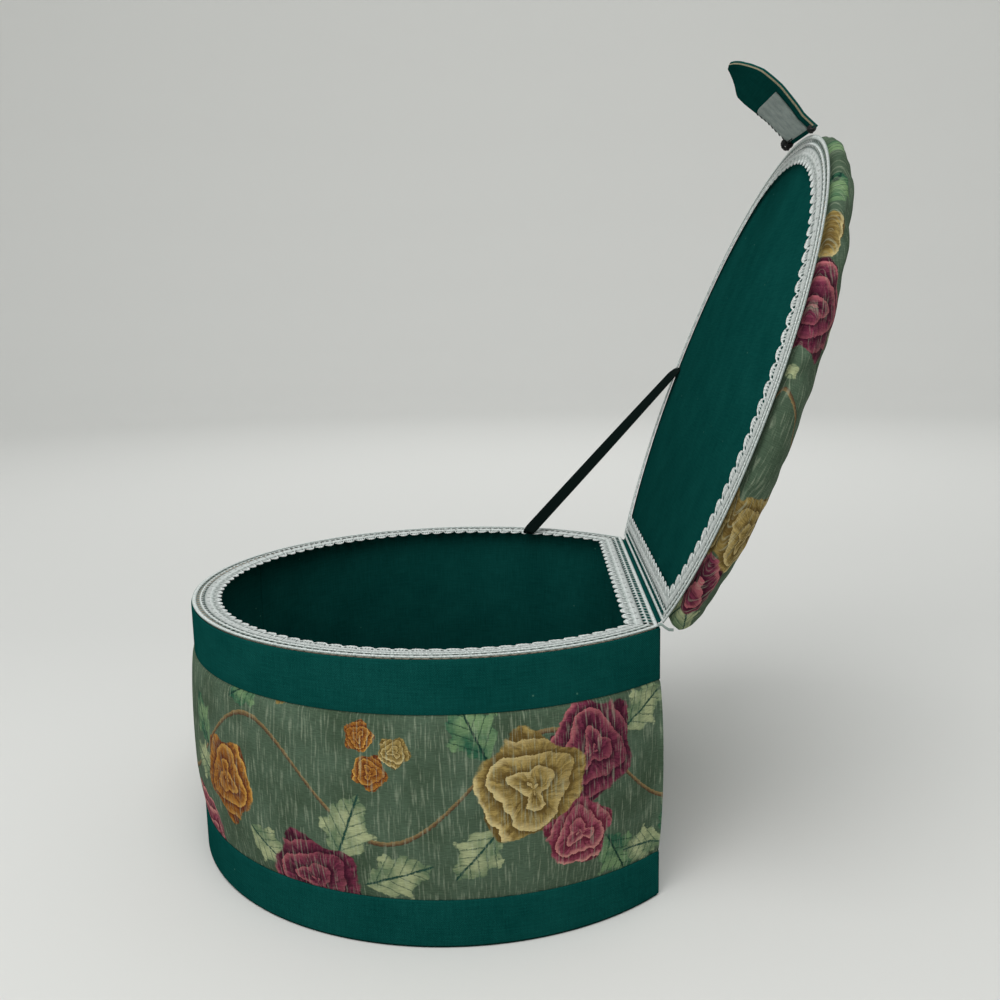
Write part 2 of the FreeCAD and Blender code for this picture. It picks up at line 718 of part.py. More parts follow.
for item in doc.Objects:
    if "Invalid" in item.State or "Error" in item.State:
        raise RuntimeError(item.Label + " did not build: " + str(item.State))
for piece in pieces:
    if piece.Shape.isNull() or not piece.Shape.isValid():
        raise RuntimeError(piece.Label + " has no valid solid")
for piece in pieces:
    piece.Shape.exportStep("parts/" + piece.Label + ".step")
    print(piece.Label, len(piece.Shape.Solids), round(piece.Shape.Volume / 1000, 2), "cm3")
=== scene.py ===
import math

import bmesh
import bpy
from mathutils import Matrix, Vector


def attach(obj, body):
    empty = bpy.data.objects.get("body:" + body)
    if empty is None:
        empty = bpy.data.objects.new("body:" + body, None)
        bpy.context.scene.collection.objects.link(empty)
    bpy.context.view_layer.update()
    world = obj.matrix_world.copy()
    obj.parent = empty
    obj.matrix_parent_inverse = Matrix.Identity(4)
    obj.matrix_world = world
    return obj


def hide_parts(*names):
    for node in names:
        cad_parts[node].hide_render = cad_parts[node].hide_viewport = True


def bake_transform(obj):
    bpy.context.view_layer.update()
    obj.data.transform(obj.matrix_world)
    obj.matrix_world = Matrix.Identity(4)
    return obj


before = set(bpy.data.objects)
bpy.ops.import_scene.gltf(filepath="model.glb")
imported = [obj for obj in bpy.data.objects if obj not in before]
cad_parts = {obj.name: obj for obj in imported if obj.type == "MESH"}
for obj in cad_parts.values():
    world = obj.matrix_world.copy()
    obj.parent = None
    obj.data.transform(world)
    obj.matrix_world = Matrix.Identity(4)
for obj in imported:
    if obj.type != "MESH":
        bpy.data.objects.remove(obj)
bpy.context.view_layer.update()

# The camera stands level with the raised lid, close to the box's +X end.
# Its place and turn were worked out from the rim's and the lid's outlines.
MM = 0.001
camera_place = Vector((454.0, 36.8, 223.6)) * MM
camera_yaw = -0.0347
camera_pitch = 0.1693
camera_roll = -0.0207
forward = Vector((-math.cos(camera_yaw) * math.cos(camera_pitch),
                  math.sin(camera_yaw) * math.cos(camera_pitch),
                  -math.sin(camera_pitch)))
level = forward.cross(Vector((0, 0, 1))).normalized()
upright = level.cross(forward)
right = level * math.cos(camera_roll) + upright * math.sin(camera_roll)
top = upright * math.cos(camera_roll) - level * math.sin(camera_roll)
camera_data = bpy.data.cameras.new("camera")
camera_data.sensor_width = 36
camera_data.lens = 36.55
camera_data.clip_start = 0.01
camera_data.clip_end = 50
camera = bpy.data.objects.new("camera", camera_data)
bpy.context.scene.collection.objects.link(camera)
turn = Matrix((right, top, -forward)).transposed().to_4x4()
camera.matrix_world = Matrix.Translation(camera_place) @ turn
bpy.context.scene.camera = camera
bpy.context.scene.view_settings.view_transform = "Standard"


# The floor is a sheet of pale paper that curves up far behind the box.
# It is matt, so it takes the soft shadow and nothing else.
def colour(text):
    """A linear colour from an sRGB hex value."""
    parts = [int(text[i:i + 2], 16) / 255 for i in (1, 3, 5)]
    return [p / 12.92 if p <= 0.04045 else ((p + 0.055) / 1.055) ** 2.4 for p in parts] + [1]


def new_material(name):
    """An empty node material, its default nodes cleared."""
    material = bpy.data.materials.new(name)
    material.use_nodes = True
    material.node_tree.nodes.clear()
    return material


def add(tree, kind, settings=(), **links):
    """One node with its settings, and values or links for its inputs by name or number."""
    node = tree.nodes.new(kind)
    for name, setting in dict(settings).items():
        setattr(node, name, setting)
    for name, source in links.items():
        key = int(name[3:]) if name.startswith("in_") else name.replace("_", " ")
        if isinstance(source, bpy.types.NodeSocket):
            tree.links.new(source, node.inputs[key])
        else:
            node.inputs[key].default_value = source
    return node


def leave_all():
    """Leaves edit mode and deselects everything."""
    if bpy.context.object and bpy.context.object.mode != "OBJECT":
        bpy.ops.object.mode_set(mode="OBJECT")
    bpy.ops.object.select_all(action="DESELECT")


leave_all()
bpy.ops.mesh.primitive_circle_add(vertices=96, radius=2.2, fill_type="NGON")
floor = bpy.context.object
floor.name = "floor"
bpy.ops.object.mode_set(mode="EDIT")
sweep = [(math.radians(step * 15), 1.2) for step in range(1, 7)]
reach, rise = 2.2, 0.0
for turn, bend in sweep:
    new_reach = 2.2 + bend * math.sin(turn)
    new_rise = bend * (1 - math.cos(turn))
    bpy.ops.mesh.extrude_region_move(TRANSFORM_OT_translate={"value": (0, 0, new_rise - rise)})
    bpy.ops.transform.resize(value=(new_reach / reach, new_reach / reach, 1))
    reach, rise = new_reach, new_rise
bpy.ops.mesh.extrude_region_move(TRANSFORM_OT_translate={"value": (0, 0, 1.2)})
bpy.ops.mesh.delete(type="FACE")
leave_all()
for face in floor.data.polygons:
    face.use_smooth = True
paper = new_material("pale_matt_paper")
tree = paper.node_tree
shader = add(tree, "ShaderNodeBsdfPrincipled", Base_Color=colour("#D6D6D3"), Roughness=0.95)
add(tree, "ShaderNodeOutputMaterial", Surface=shader.outputs[0])
floor.data.materials.append(paper)

world = bpy.data.worlds.new("soft_room")
bpy.context.scene.world = world
world.use_nodes = True
world.node_tree.nodes.clear()
room = add(world.node_tree, "ShaderNodeBackground", Color=colour("#E9ECEC"), Strength=0.68)
seen = add(world.node_tree, "ShaderNodeBackground", Color=colour("#E0E1DE"), Strength=1.0)
path = add(world.node_tree, "ShaderNodeLightPath")
both = add(world.node_tree, "ShaderNodeMixShader", in_0=path.outputs["Is Camera Ray"],
           in_1=room.outputs[0], in_2=seen.outputs[0])
add(world.node_tree, "ShaderNodeOutputWorld", Surface=both.outputs[0])


def soft_lamp(name, place, aim, size, watts, tint):
    """A square soft box that shines at a point."""
    data = bpy.data.lights.new(name, "AREA")
    data.size = size
    data.energy = watts
    data.color = colour(tint)[:3]
    lamp = bpy.data.objects.new(name, data)
    bpy.context.scene.collection.objects.link(lamp)
    place = Vector(place)
    lamp.location = place
    lamp.rotation_euler = (Vector(aim) - place).to_track_quat("-Z", "Y").to_euler()


soft_lamp("key", (0.9, -0.1, 1.7), (0, 0, 0.1), 1.4, 24, "#FFFFFF")
soft_lamp("fill", (1.2, -0.9, 0.7), (0, 0.1, 0.2), 1.2, 5, "#FFFFFF")
soft_lamp("backdrop", (-0.8, 0.1, 1.6), (-3.0, 0.1, 0.9), 1.0, 15, "#FFFFFF")


# Upper and lower bands: bottle green plain cotton drawn round the wall's board.
# The cloth is glued and turned in over the edges, so the corners are soft and round.
BOX_RADIUS = 117 * MM
HINGE_SIDE = 83.6 * MM
BAND_THICKNESS = 1.0 * MM
LOWER_BAND = (0.85 * MM, 18.85 * MM)
UPPER_BAND = (89.6 * MM, 109.95 * MM)
THREAD = 0.45
CORNER = math.asin(HINGE_SIDE / BOX_RADIUS)
ROUND_WAY = (math.pi + 2 * CORNER) * BOX_RADIUS
WHOLE_WAY = ROUND_WAY + 2 * math.cos(CORNER) * BOX_RADIUS


def outline_loop(name, inset, height, steps=240, flat_cuts=54):
    """A new object in edit mode, holding one loop of edges: the round side and the flat one."""
    leave_all()
    bpy.ops.mesh.primitive_circle_add(vertices=steps, radius=BOX_RADIUS - inset, location=(0, 0, height),
                                    calc_uvs=False)
    piece = bpy.context.object
    piece.name = name
    bpy.ops.object.transform_apply(location=True, rotation=False, scale=False)
    bpy.ops.object.mode_set(mode="EDIT")
    bpy.ops.mesh.select_all(action="SELECT")
    bpy.ops.mesh.bisect(plane_co=(0, HINGE_SIDE - inset, 0), plane_no=(0, 1, 0), clear_outer=True)
    mesh = bmesh.from_edit_mesh(piece.data)
    for vertex in mesh.verts:
        vertex.select_set(len(vertex.link_edges) == 1)
    bpy.ops.mesh.edge_face_add()
    for edge in mesh.edges:
        edge.select_set(edge.calc_length() > BOX_RADIUS / 2)
    mesh.select_flush_mode()
    bpy.ops.mesh.subdivide(number_cuts=flat_cuts)
    bpy.ops.mesh.select_all(action="SELECT")
    bmesh.update_edit_mesh(piece.data)
    return piece


def way_round(x, y):
    """How far along the outline a point lies, in mm, from the far end of the flat side."""
    angle = math.atan2(y, x)
    if CORNER < angle < math.pi - CORNER:
        along = BOX_RADIUS * math.cos(CORNER) - HINGE_SIDE * x / max(y, 0.02)
        return (ROUND_WAY + along) / MM
    turned = (angle - (math.pi - CORNER)) % (2 * math.pi)
    return turned * BOX_RADIUS / MM


def lay_cloth_round(piece):
    """Gives a wall piece a map in mm: along the outline and up."""
    data = piece.data
    layer = data.uv_layers.new(name="cloth").data
    for face in data.polygons:
        ways = [way_round(*data.vertices[data.loops[i].vertex_index].co[:2]) for i in face.loop_indices]
        crosses = max(ways) - min(ways) > 300
        for i, way in zip(face.loop_indices, ways):
            height = data.vertices[data.loops[i].vertex_index].co.z / MM
            layer[i].uv = (way + WHOLE_WAY / MM if crosses and way < 300 else way, height)


def apply_all(piece):
    """Applies a piece's modifiers in their order."""
    leave_all()
    piece.select_set(True)
    bpy.context.view_layer.objects.active = piece
    for modifier in list(piece.modifiers):
        bpy.ops.object.modifier_apply(modifier=modifier.name)


def smooth(piece, angle=40):
    leave_all()
    piece.select_set(True)
    bpy.context.view_layer.objects.active = piece
    bpy.ops.object.shade_smooth_by_angle(angle=math.radians(angle))


def wall_strip(name, inset, low, high, rows, thickness, soft):
    """An upright strip round the outline, given its thickness inwards and soft edges."""
    piece = outline_loop(name, inset, low)
    for row in range(rows):
        bpy.ops.mesh.extrude_region_move(TRANSFORM_OT_translate={"value": (0, 0, (high - low) / rows)})
    bpy.ops.mesh.select_all(action="SELECT")
    bpy.ops.mesh.normals_make_consistent(inside=False)
    leave_all()
    centre_out = sum(face.normal.dot(face.center - Vector((0, 0, face.center.z)))
                     for face in piece.data.polygons)
    if centre_out < 0:
        piece.data.flip_normals()
    wall = piece.modifiers.new("thickness", "SOLIDIFY")
    wall.thickness = thickness
    wall.offset = -1
    wall.use_even_offset = True
    edge = piece.modifiers.new("soft_edge", "BEVEL")
    edge.width = soft
    edge.segments = 3
    edge.limit_method = "ANGLE"
    edge.angle_limit = math.radians(50)
    apply_all(piece)
    return piece


# Plain-woven cotton, bottle green: matt, with a fine grain of threads, a few thick
# ones and a few specks of pale lint, and without any shine at grazing light.
def green_cotton(name, ground, lit):
    material = new_material(name)
    tree = material.node_tree
    place = add(tree, "ShaderNodeTexCoord").outputs["UV"]
    split = add(tree, "ShaderNodeSeparateXYZ", in_0=place)
    over = add(tree, "ShaderNodeMath", {"operation": "MULTIPLY"}, in_0=split.outputs[0], in_1=math.pi / THREAD)
    up = add(tree, "ShaderNodeMath", {"operation": "MULTIPLY"}, in_0=split.outputs[1], in_1=math.pi / THREAD)
    warp = add(tree, "ShaderNodeMath", {"operation": "SINE"}, in_0=over.outputs[0])
    weft = add(tree, "ShaderNodeMath", {"operation": "SINE"}, in_0=up.outputs[0])
    weave = add(tree, "ShaderNodeMath", {"operation": "MULTIPLY"}, in_0=warp.outputs[0], in_1=weft.outputs[0])
    long_way = add(tree, "ShaderNodeMapping", in_0=place, Scale=(0.10, 1.6, 1))
    slubs = add(tree, "ShaderNodeTexNoise", in_0=long_way.outputs[0], Scale=1.0, Detail=3.0, Roughness=0.6)
    high_way = add(tree, "ShaderNodeMapping", in_0=place, Scale=(1.6, 0.10, 1))
    ribs = add(tree, "ShaderNodeTexNoise", in_0=high_way.outputs[0], Scale=1.0, Detail=3.0, Roughness=0.6)
    grain = add(tree, "ShaderNodeMath", {"operation": "ADD"}, in_0=slubs.outputs[0], in_1=ribs.outputs[0])
    clouds = add(tree, "ShaderNodeTexNoise", in_0=place, Scale=0.045, Detail=2.0)
    both = add(tree, "ShaderNodeMath", {"operation": "MULTIPLY_ADD"}, in_0=clouds.outputs[0], in_1=0.8,
               in_2=grain.outputs[0])
    tone = add(tree, "ShaderNodeMapRange", Value=both.outputs[0], From_Min=1.0, From_Max=1.8)
    threads = add(tree, "ShaderNodeMix", {"data_type": "RGBA"}, in_0=tone.outputs[0], in_6=colour(ground),
                  in_7=colour(lit))
    lint = add(tree, "ShaderNodeTexVoronoi", in_0=place, Scale=0.09)
    speck = add(tree, "ShaderNodeMapRange", Value=lint.outputs["Distance"], From_Min=0.045, From_Max=0.02)
    dusty = add(tree, "ShaderNodeMix", {"data_type": "RGBA"}, in_6=threads.outputs[2],
                in_7=colour("#3E6A5C"), in_0=speck.outputs[0])
    high = add(tree, "ShaderNodeMath", {"operation": "MULTIPLY_ADD"}, in_0=grain.outputs[0], in_1=1.2,
               in_2=weave.outputs[0])
    relief = add(tree, "ShaderNodeBump", Height=high.outputs[0], Strength=0.45, Distance=0.00012)
    shader = add(tree, "ShaderNodeBsdfPrincipled", Base_Color=dusty.outputs[2], Normal=relief.outputs[0],
                 Roughness=1.0)
    shader.inputs["Specular IOR Level"].default_value = 0.0
    add(tree, "ShaderNodeOutputMaterial", Surface=shader.outputs[0])
    return material


bottle_green = green_cotton("bottle_green_plain_cotton", "#053834", "#0F4843")
for name, (low, high) in (("upper_band", UPPER_BAND), ("lower_band", LOWER_BAND)):
    band = wall_strip(name + "_cloth", 0, low, high, 6, BAND_THICKNESS, 0.45 * MM)
    smooth(band, 50)
    lay_cloth_round(band)
    band.data.materials.append(bottle_green)
    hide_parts(name)
    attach(band, "box")

# Wall panel: printed cotton drawn tight over thin wadding between the two bands.
# Its edges go under the bands, and the wadding swells it a little past them.
PANEL = (14.0 * MM, 94.0 * MM)
PANEL_INSET = 1.05 * MM
PANEL_SWELL = 2.3 * MM
PRINT_REPEAT = WHOLE_WAY / MM / 3
PRINT_RISE = 118.0

panel = outline_loop("floral_panel_cloth", PANEL_INSET, PANEL[0], steps=380, flat_cuts=90)
PANEL_ROWS = 40
for row in range(PANEL_ROWS):
    bpy.ops.mesh.extrude_region_move(
        TRANSFORM_OT_translate={"value": (0, 0, (PANEL[1] - PANEL[0]) / PANEL_ROWS)})
bpy.ops.mesh.select_all(action="SELECT")
bpy.ops.mesh.normals_make_consistent(inside=False)
leave_all()


def outward(co):
    """The way out of the box at a point of its wall."""
    angle = math.atan2(co.y, co.x)
    if CORNER < angle < math.pi - CORNER:
        return Vector((0, 1, 0))
    return Vector((co.x, co.y, 0)).normalized()


def between_bands(co):
    """0 under the bands, 1 half way between them."""
    share = (co.z - LOWER_BAND[1]) / (UPPER_BAND[0] - LOWER_BAND[1])
    return max(0.0, 4 * share * (1 - share))


if sum(face.normal.dot(outward(face.center)) for face in panel.data.polygons) < 0:
    panel.data.flip_normals()
for vertex in panel.data.vertices:
    vertex.co += outward(vertex.co) * PANEL_SWELL * between_bands(vertex.co) ** 0.6


def puff(piece, held, pressure, looseness, most, frames=20):
    """Lets the cloth of a padded piece settle under pressure, moving no point further than a limit."""
    before = [vertex.co.copy() for vertex in piece.data.vertices]
    group = piece.vertex_groups.new(name="held")
    for vertex in piece.data.vertices:
        group.add([vertex.index], held(vertex), "REPLACE")
    cloth = piece.modifiers.new("cloth", "CLOTH")
    cloth.settings.quality = 6
    cloth.settings.mass = 0.2
    cloth.settings.tension_stiffness = 25
    cloth.settings.compression_stiffness = 25
    cloth.settings.bending_stiffness = 0.4
    cloth.settings.vertex_group_mass = "held"
    cloth.settings.pin_stiffness = 2
    cloth.settings.shrink_min = -looseness
    cloth.settings.use_pressure = True
    cloth.settings.uniform_pressure_force = pressure
    cloth.settings.effector_weights.gravity = 0
    for frame_number in range(1, frames + 1):
        bpy.context.scene.frame_set(frame_number)
    apply_all(piece)
    bpy.context.scene.frame_set(1)
    for vertex, start in zip(piece.data.vertices, before):
        move = vertex.co - start
        if move.length > most:
            vertex.co = start + move * (most / move.length)
    piece.vertex_groups.remove(piece.vertex_groups["held"])


puff(panel, lambda vertex: 0.0 if between_bands(vertex.co) > 0.02 else 1.0, 3.0, 0.012, 1.3 * MM)
body = panel.modifiers.new("thickness", "SOLIDIFY")
body.thickness = 0.5 * MM
body.offset = -1
apply_all(panel)
smooth(panel, 60)
lay_cloth_round(panel)


# Printed cotton: a sage ground with slubby threads, and a plain traditional floral
# of its own, with round blooms, leaves, small blossoms and a thin climbing stem.
def new_motif(name, inputs):
    """An empty motif: local place in, colour and cover out."""
    group = bpy.data.node_groups.new(name, "ShaderNodeTree")
    for label, kind in inputs:
        group.interface.new_socket(label, in_out="INPUT", socket_type="NodeSocket" + kind)
    group.interface.new_socket("Colour", in_out="OUTPUT", socket_type="NodeSocketColor")
    group.interface.new_socket("Cover", in_out="OUTPUT", socket_type="NodeSocketFloat")
    return group


tones = [("Place", "Vector"), ("Dark", "Color"), ("Middle", "Color"), ("Light", "Color")]
bloom = new_motif("printed_bloom", tones)
given = bloom.nodes.new("NodeGroupInput").outputs
wander = add(bloom, "ShaderNodeTexNoise", in_0=given["Place"], Scale=1.6, Detail=3.0)
shift = add(bloom, "ShaderNodeVectorMath", {"operation": "MULTIPLY_ADD"}, in_0=wander.outputs["Color"],
            in_1=(0.55, 0.55, 0), in_2=(-0.275, -0.275, 0))
spot = add(bloom, "ShaderNodeVectorMath", {"operation": "ADD"}, in_0=given["Place"], in_1=shift.outputs[0])
flat_spot = add(bloom, "ShaderNodeVectorMath", {"operation": "MULTIPLY"}, in_0=spot.outputs[0], in_1=(1, 1, 0))
away = add(bloom, "ShaderNodeVectorMath", {"operation": "LENGTH"}, in_0=flat_spot.outputs[0])
parts = add(bloom, "ShaderNodeSeparateXYZ", in_0=flat_spot.outputs[0])
turn = add(bloom, "ShaderNodeMath", {"operation": "ARCTAN2"}, in_0=parts.outputs[1], in_1=parts.outputs[0])
five = add(bloom, "ShaderNodeMath", {"operation": "MULTIPLY"}, in_0=turn.outputs[0], in_1=5.0)
lobes = add(bloom, "ShaderNodeMath", {"operation": "SINE"}, in_0=five.outputs[0])
rim = add(bloom, "ShaderNodeMath", {"operation": "MULTIPLY_ADD"}, in_0=lobes.outputs[0], in_1=0.09, in_2=0.92)
inside = add(bloom, "ShaderNodeMath", {"operation": "SUBTRACT"}, in_0=rim.outputs[0], in_1=away.outputs["Value"])
cover = add(bloom, "ShaderNodeMapRange", Value=inside.outputs[0], From_Min=-0.015, From_Max=0.02)
swirl = add(bloom, "ShaderNodeMath", {"operation": "MULTIPLY_ADD"}, in_0=away.outputs["Value"], in_1=4.2,
            in_2=turn.outputs[0])
three = add(bloom, "ShaderNodeMath", {"operation": "MULTIPLY_ADD"}, in_0=turn.outputs[0], in_1=3.0,
            in_2=away.outputs["Value"])
wave = add(bloom, "ShaderNodeMath", {"operation": "SINE"}, in_0=three.outputs[0])
rings = add(bloom, "ShaderNodeMath", {"operation": "MULTIPLY_ADD"}, in_0=away.outputs["Value"], in_1=3.1,
            in_2=0.0)
petals = add(bloom, "ShaderNodeMath", {"operation": "MULTIPLY_ADD"}, in_0=wave.outputs[0], in_1=0.42,
             in_2=rings.outputs[0])
petal = add(bloom, "ShaderNodeMath", {"operation": "FRACT"}, in_0=petals.outputs[0])
fold = add(bloom, "ShaderNodeMapRange", {"interpolation_type": "SMOOTHSTEP"}, Value=petal.outputs[0],
           From_Min=0.02, From_Max=0.5)
tip = add(bloom, "ShaderNodeMapRange", {"interpolation_type": "SMOOTHSTEP"}, Value=petal.outputs[0],
          From_Min=0.55, From_Max=0.98)
side = add(bloom, "ShaderNodeVectorMath", {"operation": "DOT_PRODUCT"}, in_0=flat_spot.outputs[0],
           in_1=(-0.55, 0.75, 0))
lit = add(bloom, "ShaderNodeMapRange", Value=side.outputs["Value"], From_Min=-0.9, From_Max=0.8)
around = add(bloom, "ShaderNodeCombineXYZ", in_0=five.outputs[0], in_1=away.outputs["Value"])
strokes = add(bloom, "ShaderNodeTexNoise", in_0=around.outputs[0], Scale=1.5, Detail=4.0, Roughness=0.7)
brush = add(bloom, "ShaderNodeMapRange", Value=strokes.outputs[0], From_Min=0.36, From_Max=0.60)
deep = add(bloom, "ShaderNodeMath", {"operation": "MULTIPLY"}, in_0=fold.outputs[0], in_1=brush.outputs[0])
base = add(bloom, "ShaderNodeMix", {"data_type": "RGBA"}, in_0=deep.outputs[0], in_6=given["Dark"],
           in_7=given["Middle"])
shine = add(bloom, "ShaderNodeMath", {"operation": "MULTIPLY"}, in_0=tip.outputs[0], in_1=lit.outputs[0])
final = add(bloom, "ShaderNodeMix", {"data_type": "RGBA"}, in_0=shine.outputs[0], in_6=base.outputs[2],
            in_7=given["Light"])
add(bloom, "NodeGroupOutput", in_0=final.outputs[2], in_1=cover.outputs[0])

leaf = new_motif("printed_leaf", tones)
given = leaf.nodes.new("NodeGroupInput").outputs
parts = add(leaf, "ShaderNodeSeparateXYZ", in_0=given["Place"])
along = add(leaf, "ShaderNodeMath", {"operation": "MULTIPLY", "use_clamp": True}, in_0=parts.outputs[0], in_1=1.0)
half_turn = add(leaf, "ShaderNodeMath", {"operation": "MULTIPLY"}, in_0=along.outputs[0], in_1=math.pi)
belly = add(leaf, "ShaderNodeMath", {"operation": "SINE"}, in_0=half_turn.outputs[0])
off = add(leaf, "ShaderNodeMath", {"operation": "ABSOLUTE"}, in_0=parts.outputs[1])
ragged = add(leaf, "ShaderNodeTexNoise", in_0=given["Place"], Scale=5.0, Detail=2.0)
width = add(leaf, "ShaderNodeMath", {"operation": "MULTIPLY"}, in_0=belly.outputs[0], in_1=ragged.outputs[0])
spare = add(leaf, "ShaderNodeMath", {"operation": "MULTIPLY_ADD"}, in_0=width.outputs[0], in_1=0.62, in_2=-0.01)
room_left = add(leaf, "ShaderNodeMath", {"operation": "SUBTRACT"}, in_0=spare.outputs[0], in_1=off.outputs[0])
cover = add(leaf, "ShaderNodeMapRange", Value=room_left.outputs[0], From_Min=0.0, From_Max=0.025)
rib = add(leaf, "ShaderNodeMapRange", Value=off.outputs[0], From_Min=0.022, From_Max=0.008)
slant = add(leaf, "ShaderNodeMath", {"operation": "SUBTRACT"}, in_0=along.outputs[0], in_1=off.outputs[0])
steps = add(leaf, "ShaderNodeMath", {"operation": "MULTIPLY"}, in_0=slant.outputs[0], in_1=6.0)
vein = add(leaf, "ShaderNodeMath", {"operation": "FRACT"}, in_0=steps.outputs[0])
side_rib = add(leaf, "ShaderNodeMapRange", Value=vein.outputs[0], From_Min=0.20, From_Max=0.02, To_Max=0.8)
dark_line = add(leaf, "ShaderNodeMath", {"operation": "MAXIMUM"}, in_0=rib.outputs[0], in_1=side_rib.outputs[0])
patch = add(leaf, "ShaderNodeTexNoise", in_0=given["Place"], Scale=2.6, Detail=3.0)
pale = add(leaf, "ShaderNodeMapRange", Value=patch.outputs[0], From_Min=0.42, From_Max=0.62)
blade = add(leaf, "ShaderNodeMix", {"data_type": "RGBA"}, in_0=pale.outputs[0], in_6=given["Middle"],
            in_7=given["Light"])
final = add(leaf, "ShaderNodeMix", {"data_type": "RGBA"}, in_0=dark_line.outputs[0], in_6=blade.outputs[2],
            in_7=given["Dark"])
add(leaf, "NodeGroupOutput", in_0=final.outputs[2], in_1=cover.outputs[0])

# Dyes of the print: dark, middle and light of each.
DYES = {"rose": ("#5A2030", "#94485A", "#C98A82"), "wine": ("#3C1626", "#743247", "#AC6268"),
        "straw": ("#5E4B26", "#A28C52", "#D3BF88"), "amber": ("#5C2C1B", "#A06A2A", "#C99A4C"),
        "sage_leaf": ("#24443A", "#64785A", "#A0A880"), "fern_leaf": ("#16352C", "#2F5A44", "#6E8A62")}
# Motifs in one repeat of the print: kind, dye, place across and up, size and turn.
MOTIFS = [("leaf", "fern_leaf", 8, 58, 28, 115), ("leaf", "sage_leaf", 12, 34, 27, 230),
          ("leaf", "fern_leaf", 52, 24, 27, 300), ("leaf", "sage_leaf", 60, 62, 27, 28),
          ("bloom", "wine", 47, 58, 20, 20), ("bloom", "straw", 23, 48, 22, 75),
          ("bloom", "rose", 41, 27, 14, 140), ("leaf", "sage_leaf", 124, 34, 24, 160),
          ("leaf", "fern_leaf", 120, 46, 25, 125), ("leaf", "sage_leaf", 148, 24, 25, 325),
          ("bloom", "amber", 135, 38, 18, 255), ("leaf", "fern_leaf", 96, 8, 24, 130),
          ("leaf", "sage_leaf", 84, 10, 23, 172), ("bloom", "rose", 107, 5, 20, 310),
          ("leaf", "sage_leaf", 190, 18, 31, 70), ("leaf", "sage_leaf", 200, 10, 29, 20),
          ("bloom", "wine", 180, 8, 21, 90), ("bloom", "amber", 205, 55, 7, 40),
          ("bloom", "straw", 214, 63, 6, 110), ("bloom", "amber", 201, 68, 6, 200),
          ("leaf", "fern_leaf", 158, 84, 24, 210), ("bloom", "straw", 172, 92, 17, 10),
          ("leaf", "sage_leaf", 56, 92, 24, 190), ("bloom", "rose", 72, 98, 17, 60)]


